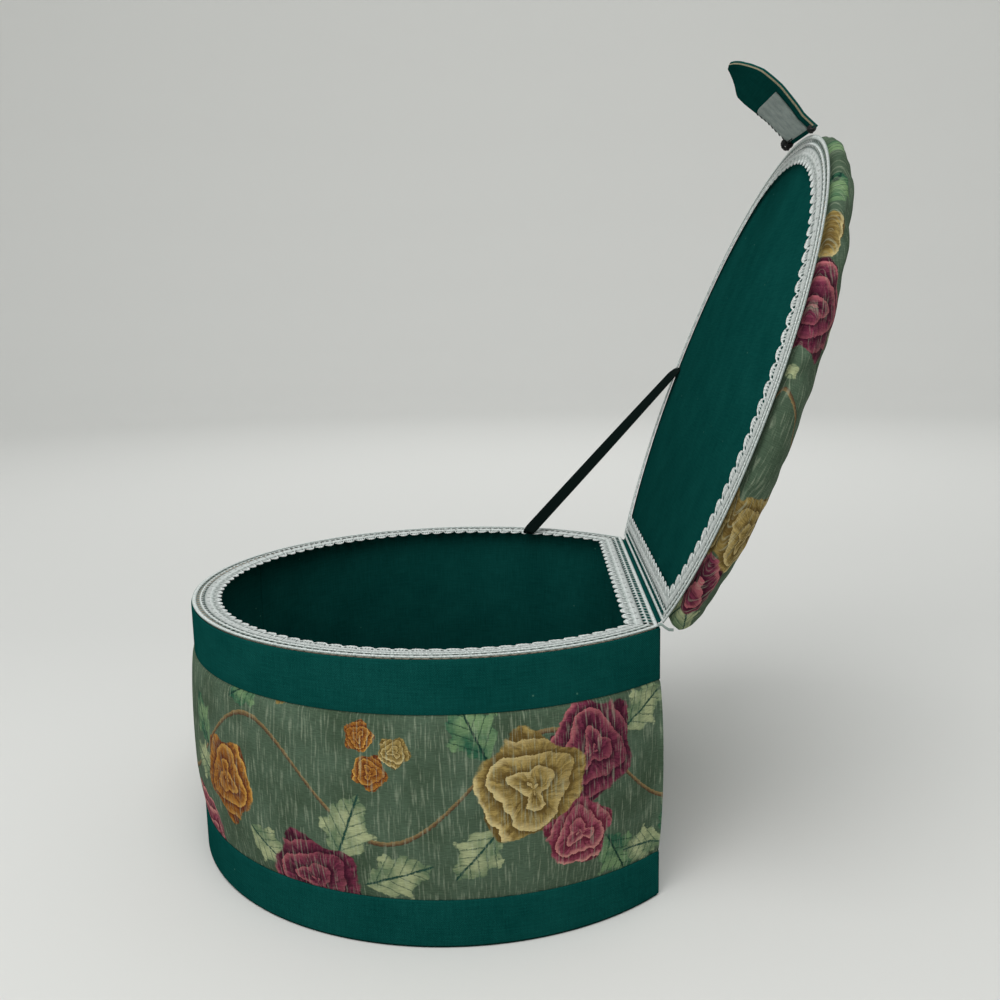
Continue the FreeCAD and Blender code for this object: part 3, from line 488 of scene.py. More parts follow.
def printed_cotton(name, start):
    """The printed cloth, its repeat set off from the map by a start in mm."""
    material = new_material(name)
    tree = material.node_tree
    place = add(tree, "ShaderNodeTexCoord").outputs["UV"]
    moved = add(tree, "ShaderNodeMapping", in_0=place, Location=start)
    fray = add(tree, "ShaderNodeTexNoise", in_0=place, Scale=1.1, Detail=1.0)
    jitter = add(tree, "ShaderNodeVectorMath", {"operation": "MULTIPLY_ADD"}, in_0=fray.outputs["Color"],
                 in_1=(1.0, 1.0, 0), in_2=moved.outputs[0])
    streak_way = add(tree, "ShaderNodeMapping", in_0=place, Scale=(1.15, 0.09, 1))
    streaks = add(tree, "ShaderNodeTexNoise", in_0=streak_way.outputs[0], Scale=1.0, Detail=2.0, Roughness=0.6)
    cross_way = add(tree, "ShaderNodeMapping", in_0=place, Scale=(0.35, 2.6, 1))
    cross = add(tree, "ShaderNodeTexNoise", in_0=cross_way.outputs[0], Scale=1.0, Detail=2.0, Roughness=0.6)
    clouds = add(tree, "ShaderNodeTexNoise", in_0=place, Scale=0.05, Detail=2.0)
    tone = add(tree, "ShaderNodeMapRange", Value=clouds.outputs[0], From_Min=0.3, From_Max=0.7)
    ground = add(tree, "ShaderNodeMix", {"data_type": "RGBA"}, in_0=tone.outputs[0], in_6=colour("#3F503E"),
                 in_7=colour("#516452"))
    split = add(tree, "ShaderNodeSeparateXYZ", in_0=jitter.outputs[0])
    way = add(tree, "ShaderNodeMath", {"operation": "MULTIPLY"}, in_0=split.outputs[0],
              in_1=4 * math.pi / PRINT_REPEAT)
    climb = add(tree, "ShaderNodeMath", {"operation": "SINE"}, in_0=way.outputs[0])
    line = add(tree, "ShaderNodeMath", {"operation": "MULTIPLY_ADD"}, in_0=climb.outputs[0], in_1=20.0, in_2=48.0)
    gap = add(tree, "ShaderNodeMath", {"operation": "SUBTRACT"}, in_0=split.outputs[1], in_1=line.outputs[0])
    apart = add(tree, "ShaderNodeMath", {"operation": "ABSOLUTE"}, in_0=gap.outputs[0])
    stem = add(tree, "ShaderNodeMapRange", Value=apart.outputs[0], From_Min=1.05, From_Max=0.8)
    bark = add(tree, "ShaderNodeMapRange", Value=gap.outputs[0], From_Min=-0.8, From_Max=0.9)
    bark_colour = add(tree, "ShaderNodeMix", {"data_type": "RGBA"}, in_0=bark.outputs[0],
                      in_6=colour("#4A3226"), in_7=colour("#8A7650"))
    layer = add(tree, "ShaderNodeMix", {"data_type": "RGBA"}, in_0=stem.outputs[0], in_6=ground.outputs[2],
                in_7=bark_colour.outputs[2]).outputs[2]
    for kind, dye, across, up, reach, turned in MOTIFS:
        dark, middle, light = DYES[dye]
        own = add(tree, "ShaderNodeVectorMath", {"operation": "SUBTRACT"}, in_0=jitter.outputs[0],
                  in_1=(across, up, 0))
        near = add(tree, "ShaderNodeVectorMath", {"operation": "WRAP"}, in_0=own.outputs[0],
                   in_1=(PRINT_REPEAT / 2, PRINT_RISE / 2, 1), in_2=(-PRINT_REPEAT / 2, -PRINT_RISE / 2, -1))
        local = add(tree, "ShaderNodeMapping", {"vector_type": "TEXTURE"}, in_0=near.outputs[0],
                    Rotation=(0, 0, math.radians(turned)), Scale=(reach, reach, 1))
        motif = add(tree, "ShaderNodeGroup", {"node_tree": bloom if kind == "bloom" else leaf},
                    Place=local.outputs[0], Dark=colour(dark), Middle=colour(middle), Light=colour(light))
        layer = add(tree, "ShaderNodeMix", {"data_type": "RGBA"}, in_0=motif.outputs["Cover"], in_6=layer,
                    in_7=motif.outputs["Colour"]).outputs[2]
    worn = add(tree, "ShaderNodeMapRange", Value=streaks.outputs[0], From_Min=0.53, From_Max=0.68, To_Max=0.34)
    faded = add(tree, "ShaderNodeMix", {"data_type": "RGBA"}, in_0=worn.outputs[0], in_6=layer,
                in_7=colour("#A9B39A"))
    shade = add(tree, "ShaderNodeMapRange", Value=cross.outputs[0], From_Min=0.35, From_Max=0.65, To_Min=0.76,
                To_Max=1.08)
    woven = add(tree, "ShaderNodeVectorMath", {"operation": "SCALE"}, in_0=faded.outputs[2],
                Scale=shade.outputs[0])
    threads = add(tree, "ShaderNodeMath", {"operation": "ADD"}, in_0=streaks.outputs[0], in_1=cross.outputs[0])
    relief = add(tree, "ShaderNodeBump", Height=threads.outputs[0], Strength=0.8, Distance=0.0004)
    shader = add(tree, "ShaderNodeBsdfPrincipled", Base_Color=woven.outputs[0], Normal=relief.outputs[0],
                 Roughness=0.95)
    shader.inputs["Specular IOR Level"].default_value = 0.05
    add(tree, "ShaderNodeOutputMaterial", Surface=shader.outputs[0])
    return material


panel.data.materials.append(printed_cotton("printed_cotton_wall", (6, -14, 0)))
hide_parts("floral_panel", "wall_padding")
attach(panel, "box")

# Lining: green cotton over card inside the wall, one strip with its ends butted
# at a seam near the front, and a loose-fitted card on the floor in the same cloth.
SEAM_ANGLE = math.radians(247)
SEAM_HALF = 0.25 * MM
LINING_INSET = 4.25 * MM
LINING_HEIGHT = (3.5 * MM, 109.5 * MM)
FLOOR_INSET = 5.55 * MM
FLOOR_TOP = 4.95 * MM
CLOTH = 0.5 * MM

lining = outline_loop("wall_lining_cloth", LINING_INSET, LINING_HEIGHT[0])
bpy.ops.mesh.extrude_region_move(TRANSFORM_OT_translate={"value": (0, 0, LINING_HEIGHT[1] - LINING_HEIGHT[0])})
seam_out = Vector((math.cos(SEAM_ANGLE), math.sin(SEAM_ANGLE), 0))
seam_across = Vector((-seam_out.y, seam_out.x, 0))
for side in (-1, 1):
    bpy.ops.mesh.select_all(action="SELECT")
    bpy.ops.mesh.bisect(plane_co=seam_across * SEAM_HALF * side, plane_no=seam_across)
mesh = bmesh.from_edit_mesh(lining.data)
for face in mesh.faces:
    middle = face.calc_center_median()
    face.select_set(abs(middle.dot(seam_across)) < SEAM_HALF * 0.9 and middle.dot(seam_out) > 0)
bmesh.update_edit_mesh(lining.data)
bpy.ops.mesh.delete(type="FACE")
bpy.ops.mesh.select_all(action="SELECT")
bpy.ops.mesh.normals_make_consistent(inside=False)
leave_all()
if sum(face.normal.dot(outward(face.center)) for face in lining.data.polygons) < 0:
    lining.data.flip_normals()
card = lining.modifiers.new("thickness", "SOLIDIFY")
card.thickness = 1.0 * MM
card.offset = -1
card.use_even_offset = True
edge = lining.modifiers.new("soft_edge", "BEVEL")
edge.width = 0.3 * MM
edge.segments = 2
edge.limit_method = "ANGLE"
edge.angle_limit = math.radians(50)
apply_all(lining)
smooth(lining, 50)
lay_cloth_round(lining)
lining.data.materials.append(bottle_green)
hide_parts("wall_lining")
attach(lining, "box")


def flat_cloth(name, inset, low, high, soft):
    """A flat piece of cloth over card with the box's outline, mapped across and back in mm."""
    piece = outline_loop(name, inset, low)
    bpy.ops.mesh.edge_face_add()
    bpy.ops.mesh.extrude_region_move(TRANSFORM_OT_translate={"value": (0, 0, high - low)})
    bpy.ops.mesh.select_all(action="SELECT")
    bpy.ops.mesh.normals_make_consistent(inside=False)
    leave_all()
    edge = piece.modifiers.new("soft_edge", "BEVEL")
    edge.width = soft
    edge.segments = 2
    edge.limit_method = "ANGLE"
    edge.angle_limit = math.radians(50)
    apply_all(piece)
    smooth(piece, 50)
    layer = piece.data.uv_layers.new(name="cloth").data
    for face in piece.data.polygons:
        for i in face.loop_indices:
            layer[i].uv = piece.data.vertices[piece.data.loops[i].vertex_index].co.xy / MM
    return piece


floor_cloth = flat_cloth("floor_cloth_sheet", FLOOR_INSET, FLOOR_TOP - CLOTH, FLOOR_TOP, 0.2 * MM)
floor_cloth.data.materials.append(bottle_green)
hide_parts("floor_cloth")
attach(floor_cloth, "box")

# Lid, modelled closed and then swung open about the hinge. Its lining is the same
# green cotton over a card, and its outside is one cushion of printed cotton over
# wadding: a round edge turned under the lid's board, and a low crown.
HINGE = Vector((0, 83.6, 111.2)) * MM
OPEN = Matrix.Translation(HINGE) @ Matrix.Rotation(math.radians(-110), 4, "X") @ Matrix.Translation(-HINGE)
LID_LINING = (112.25 * MM, 112.75 * MM)
LID_LINING_INSET = 6.8 * MM
LID_UNDER = 113.75 * MM
LID_TURN_UNDER = 14 * MM
LID_EDGE = [(2.5, 0), (0.7, 1.2), (0, 4.2), (0.9, 6.9), (3.5, 8.9), (7, 9.6)]
LID_SHOULDER = 9.6
LID_CROWN = 14.0
CROWN_REACH = 62.0
LID_DEPTH = BOX_RADIUS + HINGE_SIDE

lid_lining = flat_cloth("lid_lining_sheet", LID_LINING_INSET, *LID_LINING, 0.2 * MM)
lid_lining.data.transform(OPEN)
lid_lining.data.materials.append(bottle_green)
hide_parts("lid_lining_cloth")
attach(lid_lining, "lid")

cushion = outline_loop("lid_cushion", LID_TURN_UNDER, LID_UNDER)
levels = [(inset * MM, rise * MM) for inset, rise in LID_EDGE]
for step in range(1, 9):
    share = step / 8
    rise = LID_SHOULDER + (LID_CROWN - LID_SHOULDER) * share * (2 - share)
    levels.append(((LID_EDGE[-1][0] + CROWN_REACH * share) * MM, rise * MM))
last_inset, last_rise = LID_TURN_UNDER, 0
for inset, rise in levels:
    bpy.ops.mesh.extrude_region_move(TRANSFORM_OT_translate={"value": (0, 0, rise - last_rise)})
    bpy.ops.transform.resize(value=((BOX_RADIUS - inset) / (BOX_RADIUS - last_inset),
                                    (LID_DEPTH - 2 * inset) / (LID_DEPTH - 2 * last_inset), 1),
                             center_override=(0, HINGE_SIDE - LID_DEPTH / 2, 0))
    last_inset, last_rise = inset, rise
bpy.ops.mesh.edge_face_add()
mesh = bmesh.from_edit_mesh(cushion.data)
for edge in mesh.edges:
    edge.select_set(edge.is_boundary)
bpy.ops.mesh.edge_face_add()
bpy.ops.mesh.select_all(action="SELECT")
bpy.ops.mesh.normals_make_consistent(inside=False)
leave_all()
grid = cushion.modifiers.new("even_grid", "REMESH")
grid.mode = "VOXEL"
grid.voxel_size = 2.6 * MM
apply_all(cushion)
puff(cushion, lambda vertex: 1.0 if vertex.co.z < LID_UNDER + 0.9 * MM else 0.0, 4.0, 0.01, 2.4 * MM)
for vertex in cushion.data.vertices:
    flat = Vector((vertex.co.x, vertex.co.y, 0))
    forward_share = max(0.0, -flat.y / BOX_RADIUS)
    edge_share = max(0.0, min(1.0, (flat.length - 0.75 * BOX_RADIUS) / (0.2 * BOX_RADIUS)))
    lift_share = max(0.0, min(1.0, (vertex.co.z - LID_UNDER) / (3 * MM)))
    vertex.co += flat.normalized() * 2.4 * MM * forward_share ** 2 * edge_share * lift_share
finer = cushion.modifiers.new("finer", "SUBSURF")
finer.levels = finer.render_levels = 1
apply_all(cushion)
smooth(cushion, 180)
LID_MIDDLE = Vector((0, HINGE_SIDE - LID_DEPTH / 2, 0))
layer = cushion.data.uv_layers.new(name="cloth").data
for face in cushion.data.polygons:
    for i in face.loop_indices:
        spot = cushion.data.vertices[cushion.data.loops[i].vertex_index].co
        flat = Vector((spot.x, spot.y, 0)) - LID_MIDDLE
        over_edge = max(0.0, LID_UNDER + LID_SHOULDER * MM - spot.z)
        reach = flat.length + over_edge
        layer[i].uv = (flat.normalized() * reach).xy / MM
cushion.data.transform(OPEN)
cushion.data.materials.append(printed_cotton("printed_cotton_lid", (64, 36, 0)))
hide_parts("lid_cover", "lid_padding")
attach(cushion, "lid")

# Cotton lace round the rim and inside the lid: a knitted header with a bumpy outer
# cord and two rows of small holes, and scallops that hang from it like loops.
# One scallop is modelled flat, set in a row and bent round the box's outline.
LACE_COLUMNS = 11
LACE_ROWS = 10
LACE_HOLES = [(row, column) for row in (2, 4) for column in (1, 2, 3, 4, 6, 7, 8, 9)]
LACE_HOLES += [(6, 0), (6, 10), (8, 1), (8, 2), (8, 4), (8, 6), (8, 8), (8, 9)]
HEADER_LEVELS = [0, 1.0, 1.7, 3.1, 3.8, 5.2, 6.1]
SCALLOP_LEVELS = [0, 0.24, 0.74, 1]
ARC_SCALLOPS = 78
BACK_SCALLOPS = 20
SCALLOPS = ARC_SCALLOPS + BACK_SCALLOPS
SCALLOP_PITCH = 6.5
LACE_RADIUS = 116.6
LACE_BACK = 82.8
LACE_BODY = 0.3 * MM


def lace_depth(row, across):
    """How far in from the outer edge a point of the lace lies, in mm."""
    if row <= 6:
        return HEADER_LEVELS[round(row)]
    bow = math.sqrt(max(0.0, math.sin(math.pi * across)))
    near, far = 7.5 + 0.1 * bow, 8.8 + 3.6 * bow
    return near + (far - near) * SCALLOP_LEVELS[round(row) - 7]


def lace_relief(row, across):
    """How high the threads stand at a point of the lace, in mm."""
    beads = math.cos(math.tau * 5 * across)
    heights = [0.05, 0.45, 0.0, 0.05, 0.36, 0.02, 0.38, 0.30, 0.10, 0.30, 0.40]
    return heights[round(row)] * (1 + 0.5 * beads * (row in (0, 1, 4, 6, 10)))


def lace_trim(name, bottom, fall, up):
    """A ring of lace, its relief facing up or down, its inner edge falling away."""
    leave_all()
    bpy.ops.mesh.primitive_grid_add(x_subdivisions=LACE_COLUMNS, y_subdivisions=LACE_ROWS, size=1,
                                    calc_uvs=False)
    piece = bpy.context.object
    piece.name = name
    bpy.ops.object.mode_set(mode="EDIT")
    bpy.ops.transform.translate(value=(0.5, 0.5, 0))
    mesh = bmesh.from_edit_mesh(piece.data)
    for face in mesh.faces:
        middle = face.calc_center_median()
        face.select_set((int(middle.y * LACE_ROWS), int(middle.x * LACE_COLUMNS)) in LACE_HOLES)
    bmesh.update_edit_mesh(piece.data)
    bpy.ops.mesh.delete(type="FACE")
    leave_all()
    row_of = piece.modifiers.new("row", "ARRAY")
    row_of.count = SCALLOPS
    row_of.relative_offset_displace = (1, 0, 0)
    row_of.use_merge_vertices = True
    row_of.merge_threshold = 0.001
    apply_all(piece)
    layer = piece.data.uv_layers.new(name="cloth").data
    for loop in piece.data.loops:
        spot = piece.data.vertices[loop.vertex_index].co
        layer[loop.index].uv = (spot.x * SCALLOP_PITCH, lace_depth(spot.y * LACE_ROWS, spot.x % 1))
    # The threads' height is kept for the lace material, which paints shade where they sit low.
    stands = piece.data.attributes.new("thread_height", "FLOAT", "POINT").data
    for vertex in piece.data.vertices:
        along, row = vertex.co.x, round(vertex.co.y * LACE_ROWS)
        depth = lace_depth(row, along % 1)
        lift = lace_relief(row, along % 1)
        stands[vertex.index].value = lift
        radius, back = LACE_RADIUS - depth, LACE_BACK - depth
        end = math.asin(back / radius)
        if along <= ARC_SCALLOPS:
            angle = math.pi - end + (math.pi + 2 * end) * along / ARC_SCALLOPS
            x, y = radius * math.cos(angle), radius * math.sin(angle)
        else:
            half = radius * math.cos(end)
            x, y = half * (1 - 2 * (along - ARC_SCALLOPS) / BACK_SCALLOPS), back
        drop = fall * max(0.0, depth - 2) ** 1.5 / 32
        vertex.co = Vector((x, y, bottom / MM - drop + up * lift)) * MM
    bpy.ops.object.mode_set(mode="EDIT")
    bpy.ops.mesh.select_all(action="SELECT")
    bpy.ops.mesh.remove_doubles(threshold=0.00005)
    bpy.ops.mesh.normals_make_consistent(inside=False)
    leave_all()
    if sum(face.normal.z for face in piece.data.polygons) * up < 0:
        piece.data.flip_normals()
    finer = piece.modifiers.new("round_holes", "SUBSURF")
    finer.levels = finer.render_levels = 1
    body = piece.modifiers.new("thickness", "SOLIDIFY")
    body.thickness = LACE_BODY
    body.offset = -1
    apply_all(piece)
    smooth(piece, 75)
    return piece


# White cotton thread, knitted: soft and matt, with painted shade in a dark grey-green on the low threads
# round the holes and in the gaps between stitches, for their shadow and the dark cloth seen through them,
# with small stitch bumps drawn as coarse as they need to show and a fuzzy sheen.
cotton = new_material("white_knitted_cotton_lace")
tree = cotton.node_tree
place = add(tree, "ShaderNodeTexCoord").outputs["UV"]
turned = add(tree, "ShaderNodeMapping", in_0=place, Scale=(4.4, 5.2, 1))
stitch = add(tree, "ShaderNodeTexVoronoi", in_0=turned.outputs[0], Scale=0.28, Randomness=0.55)
fuzz = add(tree, "ShaderNodeTexNoise", in_0=place, Scale=2.6, Detail=3.0, Roughness=0.7)
stands = add(tree, "ShaderNodeAttribute", {"attribute_name": "thread_height"})
# Painted shade: low threads round the holes and the gaps between stitches are mixed towards dark grey-green.
painted_shade_on_low_threads = add(tree, "ShaderNodeMapRange", Value=stands.outputs["Fac"], From_Min=0.30, From_Max=0.04, To_Max=0.9)
painted_shade_between_stitches = add(tree, "ShaderNodeMapRange", Value=stitch.outputs["Distance"], From_Min=0.3, From_Max=0.8,
                       To_Max=0.6)
shade = add(tree, "ShaderNodeMath", {"operation": "MAXIMUM"}, in_0=painted_shade_on_low_threads.outputs[0],
            in_1=painted_shade_between_stitches.outputs[0])
# The white of the lace, darkened towards grey-green by the painted shade.
tint = add(tree, "ShaderNodeMix", {"data_type": "RGBA"}, in_0=shade.outputs[0], in_6=colour("#E6EBE8"),
           in_7=colour("#6B7C76"))
height = add(tree, "ShaderNodeMath", {"operation": "MULTIPLY_ADD"}, in_0=stitch.outputs["Distance"], in_1=-1.0,
             in_2=fuzz.outputs[0])
relief = add(tree, "ShaderNodeBump", Height=height.outputs[0], Strength=0.9, Distance=0.0004)
shader = add(tree, "ShaderNodeBsdfPrincipled", Base_Color=tint.outputs[2], Normal=relief.outputs[0],
             Roughness=0.9, Sheen_Weight=0.2, Sheen_Roughness=0.6)
shader.inputs["Specular IOR Level"].default_value = 0.2
add(tree, "ShaderNodeOutputMaterial", Surface=shader.outputs[0])

rim_lace = lace_trim("rim_lace_knit", 110.75 * MM, 1.2, 1)
lid_lace = lace_trim("lid_lace_knit", 111.8 * MM, 0.9, -1)
lid_lace.data.transform(OPEN)
for lace, node, under, body in ((rim_lace, "rim_lace", "wall_board", "box"),
                                (lid_lace, "lid_lace", "lid_lining_card", "lid")):
    lace.data.materials.append(cotton)
    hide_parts(node)
    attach(lace, body)

# Hinge cloth: one strip of the green cotton, glued on the rim and under the lid and
# folded between them. It is modelled in one shape, bent across the hinge with the lid open.
HINGE_FOLD = 1.0
HINGE_LAP = 5.4
HINGE_HALF = 76.0
BACK_LEAN = math.radians(70)


def bent_sheet(name, columns, rows, size, place, thickness, side=-1):
    """A strip of cloth whose points are put by their share across and along it, mapped in mm."""
    leave_all()
    bpy.ops.mesh.primitive_grid_add(x_subdivisions=columns, y_subdivisions=rows, size=1, calc_uvs=False)
    piece = bpy.context.object
    piece.name = name
    layer = piece.data.uv_layers.new(name="cloth").data
    for loop in piece.data.loops:
        spot = piece.data.vertices[loop.vertex_index].co
        layer[loop.index].uv = ((spot.x + 0.5) * size[0], (spot.y + 0.5) * size[1])
    for vertex in piece.data.vertices:
        vertex.co = Vector(place(vertex.co.x + 0.5, vertex.co.y + 0.5)) * MM
    body = piece.modifiers.new("thickness", "SOLIDIFY")
    body.thickness = thickness * MM
    body.offset = side
    edge = piece.modifiers.new("soft_edge", "BEVEL")
    edge.width = thickness * 0.3 * MM
    edge.segments = 2
    edge.limit_method = "ANGLE"
    edge.angle_limit = math.radians(60)
    apply_all(piece)
    smooth(piece, 50)
    return piece


def fold_place(across, along):
    """The hinge strip: flat on the rim, round the fold, then up behind the lid's lace."""
    turn = BACK_LEAN * HINGE_FOLD
    way = along * (2 * HINGE_LAP + turn) - HINGE_LAP
    if way < 0:
        y, z = way, -HINGE_FOLD
    elif way < turn:
        y, z = HINGE_FOLD * math.sin(way / HINGE_FOLD), -HINGE_FOLD * math.cos(way / HINGE_FOLD)
    else:
        up = way - turn
        y = HINGE_FOLD * math.sin(BACK_LEAN) + up * math.cos(BACK_LEAN)
        z = -HINGE_FOLD * math.cos(BACK_LEAN) + up * math.sin(BACK_LEAN)
    return (across * 2 - 1) * HINGE_HALF, HINGE.y / MM + y, HINGE.z / MM + z


hinge_strip = bent_sheet("hinge_cloth_strip", 40, 26, (2 * HINGE_HALF, 12), fold_place, 0.5, 1)
hinge_strip.data.materials.append(bottle_green)
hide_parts("hinge_cloth")
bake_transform(hinge_strip)

# Stay ribbon: dark satin, sewn under the rim lace on the far side, turned up round
# the lace's tips and taut to the lid's lace, with its flat side to the camera below.
RIBBON_POINTS = [(-104.5, 35.2, 109.7), (-99.8, 33.7, 109.7), (-98.6, 33.2, 110.1), (-98.2, 33.3, 111.2),
                 (-98.4, 34.6, 112.8), (-99.9, 73.3, 154.4), (-101.5, 112.0, 196.0), (-102.4, 114.4, 198.0),
                 (-105.0, 116.4, 199.2)]
RIBBON_ACROSS = [(0.33, 0.94, 0), (0.33, 0.94, 0), (0.33, 0.94, 0), (0.33, 0.90, -0.2), (0.40, 0.70, -0.58),
                 (0.62, 0.58, -0.54), (0.85, 0.38, -0.36), (0.90, 0.30, -0.25), (0.97, 0.15, -0.1)]
RIBBON_WIDTH = 6.3


def spot_on(points, share):
    """Which leg of a way a share of its length falls on, and how far along that leg."""
    legs = [(Vector(b) - Vector(a)).length for a, b in zip(points, points[1:])]
    left = share * sum(legs)
    for index, leg in enumerate(legs):
        if left <= leg or index == len(legs) - 1:
            return index, min(left / leg, 1.0)
        left -= leg


def between(points, index, part):
    return Vector(points[index]).lerp(Vector(points[index + 1]), part)


def ribbon_place(across, along):
    index, part = spot_on(RIBBON_POINTS, along)
    wide = between(RIBBON_ACROSS, index, part).normalized()
    return between(RIBBON_POINTS, index, part) + wide * (across - 0.5) * RIBBON_WIDTH


satin = new_material("dark_green_satin_ribbon")
tree = satin.node_tree
place = add(tree, "ShaderNodeTexCoord").outputs["UV"]
ribbed = add(tree, "ShaderNodeMapping", in_0=place, Scale=(0.6, 9.0, 1))
ribs = add(tree, "ShaderNodeTexNoise", in_0=ribbed.outputs[0], Scale=1.0, Detail=2.0)
relief = add(tree, "ShaderNodeBump", Height=ribs.outputs[0], Strength=0.3, Distance=0.0001)
shader = add(tree, "ShaderNodeBsdfPrincipled", Base_Color=colour("#030F0D"), Normal=relief.outputs[0],
             Roughness=0.7)
shader.inputs["Specular IOR Level"].default_value = 0.05
add(tree, "ShaderNodeOutputMaterial", Surface=shader.outputs[0])

ribbon = bent_sheet("stay_ribbon_strip", 6, 90, (RIBBON_WIDTH, 110), ribbon_place, 0.4, 0)
ribbon.data.materials.append(satin)
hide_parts("stay_ribbon")
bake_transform(ribbon)

# A loose end of the lace's cord stands out in a small loop at the hinge's near corner.
CORD_END = [(83.4, 82.4, 111.5), (84.0, 83.7, 112.1), (84.4, 84.9, 111.0), (84.4, 86.4, 110.0), (84.2, 88.2, 109.8)]
leave_all()
bpy.ops.mesh.primitive_circle_add(vertices=8, radius=0.6 * MM, fill_type="NGON", calc_uvs=False)
cord_end = bpy.context.object
cord_end.name = "lace_cord_end"
bpy.ops.object.mode_set(mode="EDIT")
bpy.ops.transform.rotate(value=math.radians(90), orient_axis="X", center_override=(0, 0, 0))
bpy.ops.transform.translate(value=Vector(CORD_END[0]) * MM)
for step in range(12):
    here, ahead = (between(CORD_END, *spot_on(CORD_END, (step + more) / 12)) for more in (0, 1))
    bpy.ops.mesh.extrude_region_move(TRANSFORM_OT_translate={"value": (ahead - here) * MM})
leave_all()
apply_all(cord_end)
smooth(cord_end, 60)
cord_end.data.materials.append(cotton)
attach(cord_end, "box")

# Closing tab: two plies of green cotton with a pointed end, curled up and forwards.
# Its root corners are held to the lid by knots of black thread, and the stiff half
# of a hook and loop closure is stitched on its inner face.
NEAR_EDGE = [(20.4, 152.5, 299.8), (20.5, 146.6, 304.7), (20.5, 144.0, 308.1), (20.5, 140.9, 311.8),
             (20.5, 137.8, 315.7), (20.5, 134.2, 319.1), (20.2, 130.6, 322.2), (17.5, 129.1, 323.9),
             (14.5, 127.9, 325.2), (11.5, 125.8, 326.6), (8.0, 124.1, 327.9), (4.5, 121.9, 328.8),
             (1.4, 120.5, 329.2)]
FAR_EDGE = [(-20.4, 152.5, 299.8), (-20.5, 146.1, 306.3), (-20.5, 143.3, 309.3), (-20.5, 140.0, 312.0),
            (-20.4, 135.0, 315.6), (-20.4, 131.6, 318.0), (-20.2, 128.3, 321.0), (-17.0, 127.1, 322.6),
            (-13.0, 125.9, 324.2), (-8.0, 124.1, 326.0), (-4.0, 122.3, 327.6), (-1.4, 120.9, 328.6)]
PLY = 0.8
HOOK_BODY = 0.8
HOOK_START, HOOK_END = 0.035, 0.405
HOOK_FAR, HOOK_NEAR = 0.075, 0.87


def tab_spot(across, along, lift=0.0):
    """A point of the tab's inner face, lifted off it in mm; across runs from the far edge."""
    def on_face(a, b):
        a = min(max(a, 0.0), 1.0)
        b = min(max(b, 0.0), 1.0)
        far, near = (between(edge, *spot_on(edge, b)) for edge in (FAR_EDGE, NEAR_EDGE))
        return far.lerp(near, a)
    wide = on_face(across + 0.02, along) - on_face(across - 0.02, along)
    long = on_face(across, along + 0.03) - on_face(across, along - 0.03)
    ripple = 0.25 * math.sin(9 * along + 2.2) * (2 * across - 1)
    return on_face(across, along) + wide.cross(long).normalized() * (lift + ripple)


facing = bent_sheet("tab_outer_ply", 24, 34, (41, 41), lambda a, b: tab_spot(a * 1.012 - 0.006, b, -PLY - 0.1),
                    PLY)
backing = bent_sheet("tab_inner_ply", 24, 34, (41, 41), tab_spot, PLY)

# The plies' cut edge shows as a thin tan line of raw, unfinished cloth.
raw_edge = new_material("raw_cut_edge_of_cotton")
tree = raw_edge.node_tree
fray = add(tree, "ShaderNodeTexNoise", in_0=add(tree, "ShaderNodeTexCoord").outputs["Object"], Scale=2600.0)
tan = add(tree, "ShaderNodeMix", {"data_type": "RGBA"}, in_0=fray.outputs[0], in_6=colour("#23382F"),
          in_7=colour("#9A8E70"))
shader = add(tree, "ShaderNodeBsdfPrincipled", Base_Color=tan.outputs[2], Roughness=0.95)
add(tree, "ShaderNodeOutputMaterial", Surface=shader.outputs[0])
for ply, node in ((facing, "tab_facing"), (backing, "tab_backing")):
    ply.data.materials.append(bottle_green)
    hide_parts(node)
    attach(ply, "tab")
backing.data.materials.append(raw_edge)
for face in backing.data.polygons:
    middle = face.center / MM
    inward = tab_spot(0.5, 0.3, 1) - tab_spot(0.5, 0.3)
    if abs(face.normal.dot(inward)) < 0.45 and middle.z > 301:
        face.material_index = 1

# Hook patch: grey-white moulded tape with rows of tiny hooks, its far corner rounded.
hook_tape = new_material("grey_white_moulded_hook_tape")
tree = hook_tape.node_tree
place = add(tree, "ShaderNodeTexCoord").outputs["UV"]
hooks = add(tree, "ShaderNodeTexVoronoi", in_0=place, Scale=1.25, Randomness=0.35)
mottle = add(tree, "ShaderNodeTexNoise", in_0=place, Scale=0.22, Detail=3.0)
worn = add(tree, "ShaderNodeMapRange", Value=mottle.outputs[0], From_Min=0.35, From_Max=0.65)
grey = add(tree, "ShaderNodeMix", {"data_type": "RGBA"}, in_0=worn.outputs[0], in_6=colour("#7D8B86"),
           in_7=colour("#98A49F"))
dots = add(tree, "ShaderNodeMapRange", Value=hooks.outputs["Distance"], From_Min=0.1, From_Max=0.6, To_Min=1.0,
           To_Max=0.0)
relief = add(tree, "ShaderNodeBump", Height=dots.outputs[0], Strength=0.5, Distance=0.0004)
shader = add(tree, "ShaderNodeBsdfPrincipled", Base_Color=grey.outputs[2], Normal=relief.outputs[0],
             Roughness=0.55)
shader.inputs["Subsurface Weight"].default_value = 0.1
shader.inputs["Subsurface Radius"].default_value = (0.5 * MM, 0.5 * MM, 0.5 * MM)
add(tree, "ShaderNodeOutputMaterial", Surface=shader.outputs[0])


def hook_spot(across, along):
    far_corner = max(0.0, 1 - across * 5) ** 2 * max(0.0, along - 0.8) * 0.28
    wide = HOOK_FAR + (HOOK_NEAR - HOOK_FAR) * across
    return tab_spot(wide, HOOK_START + (HOOK_END - HOOK_START) * (along - far_corner), HOOK_BODY + 0.1)


hook_patch = bent_sheet("hook_tape_patch", 20, 14, (35, 20), hook_spot, HOOK_BODY)
hook_patch.data.materials.append(hook_tape)
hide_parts("hook_patch")
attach(hook_patch, "tab")

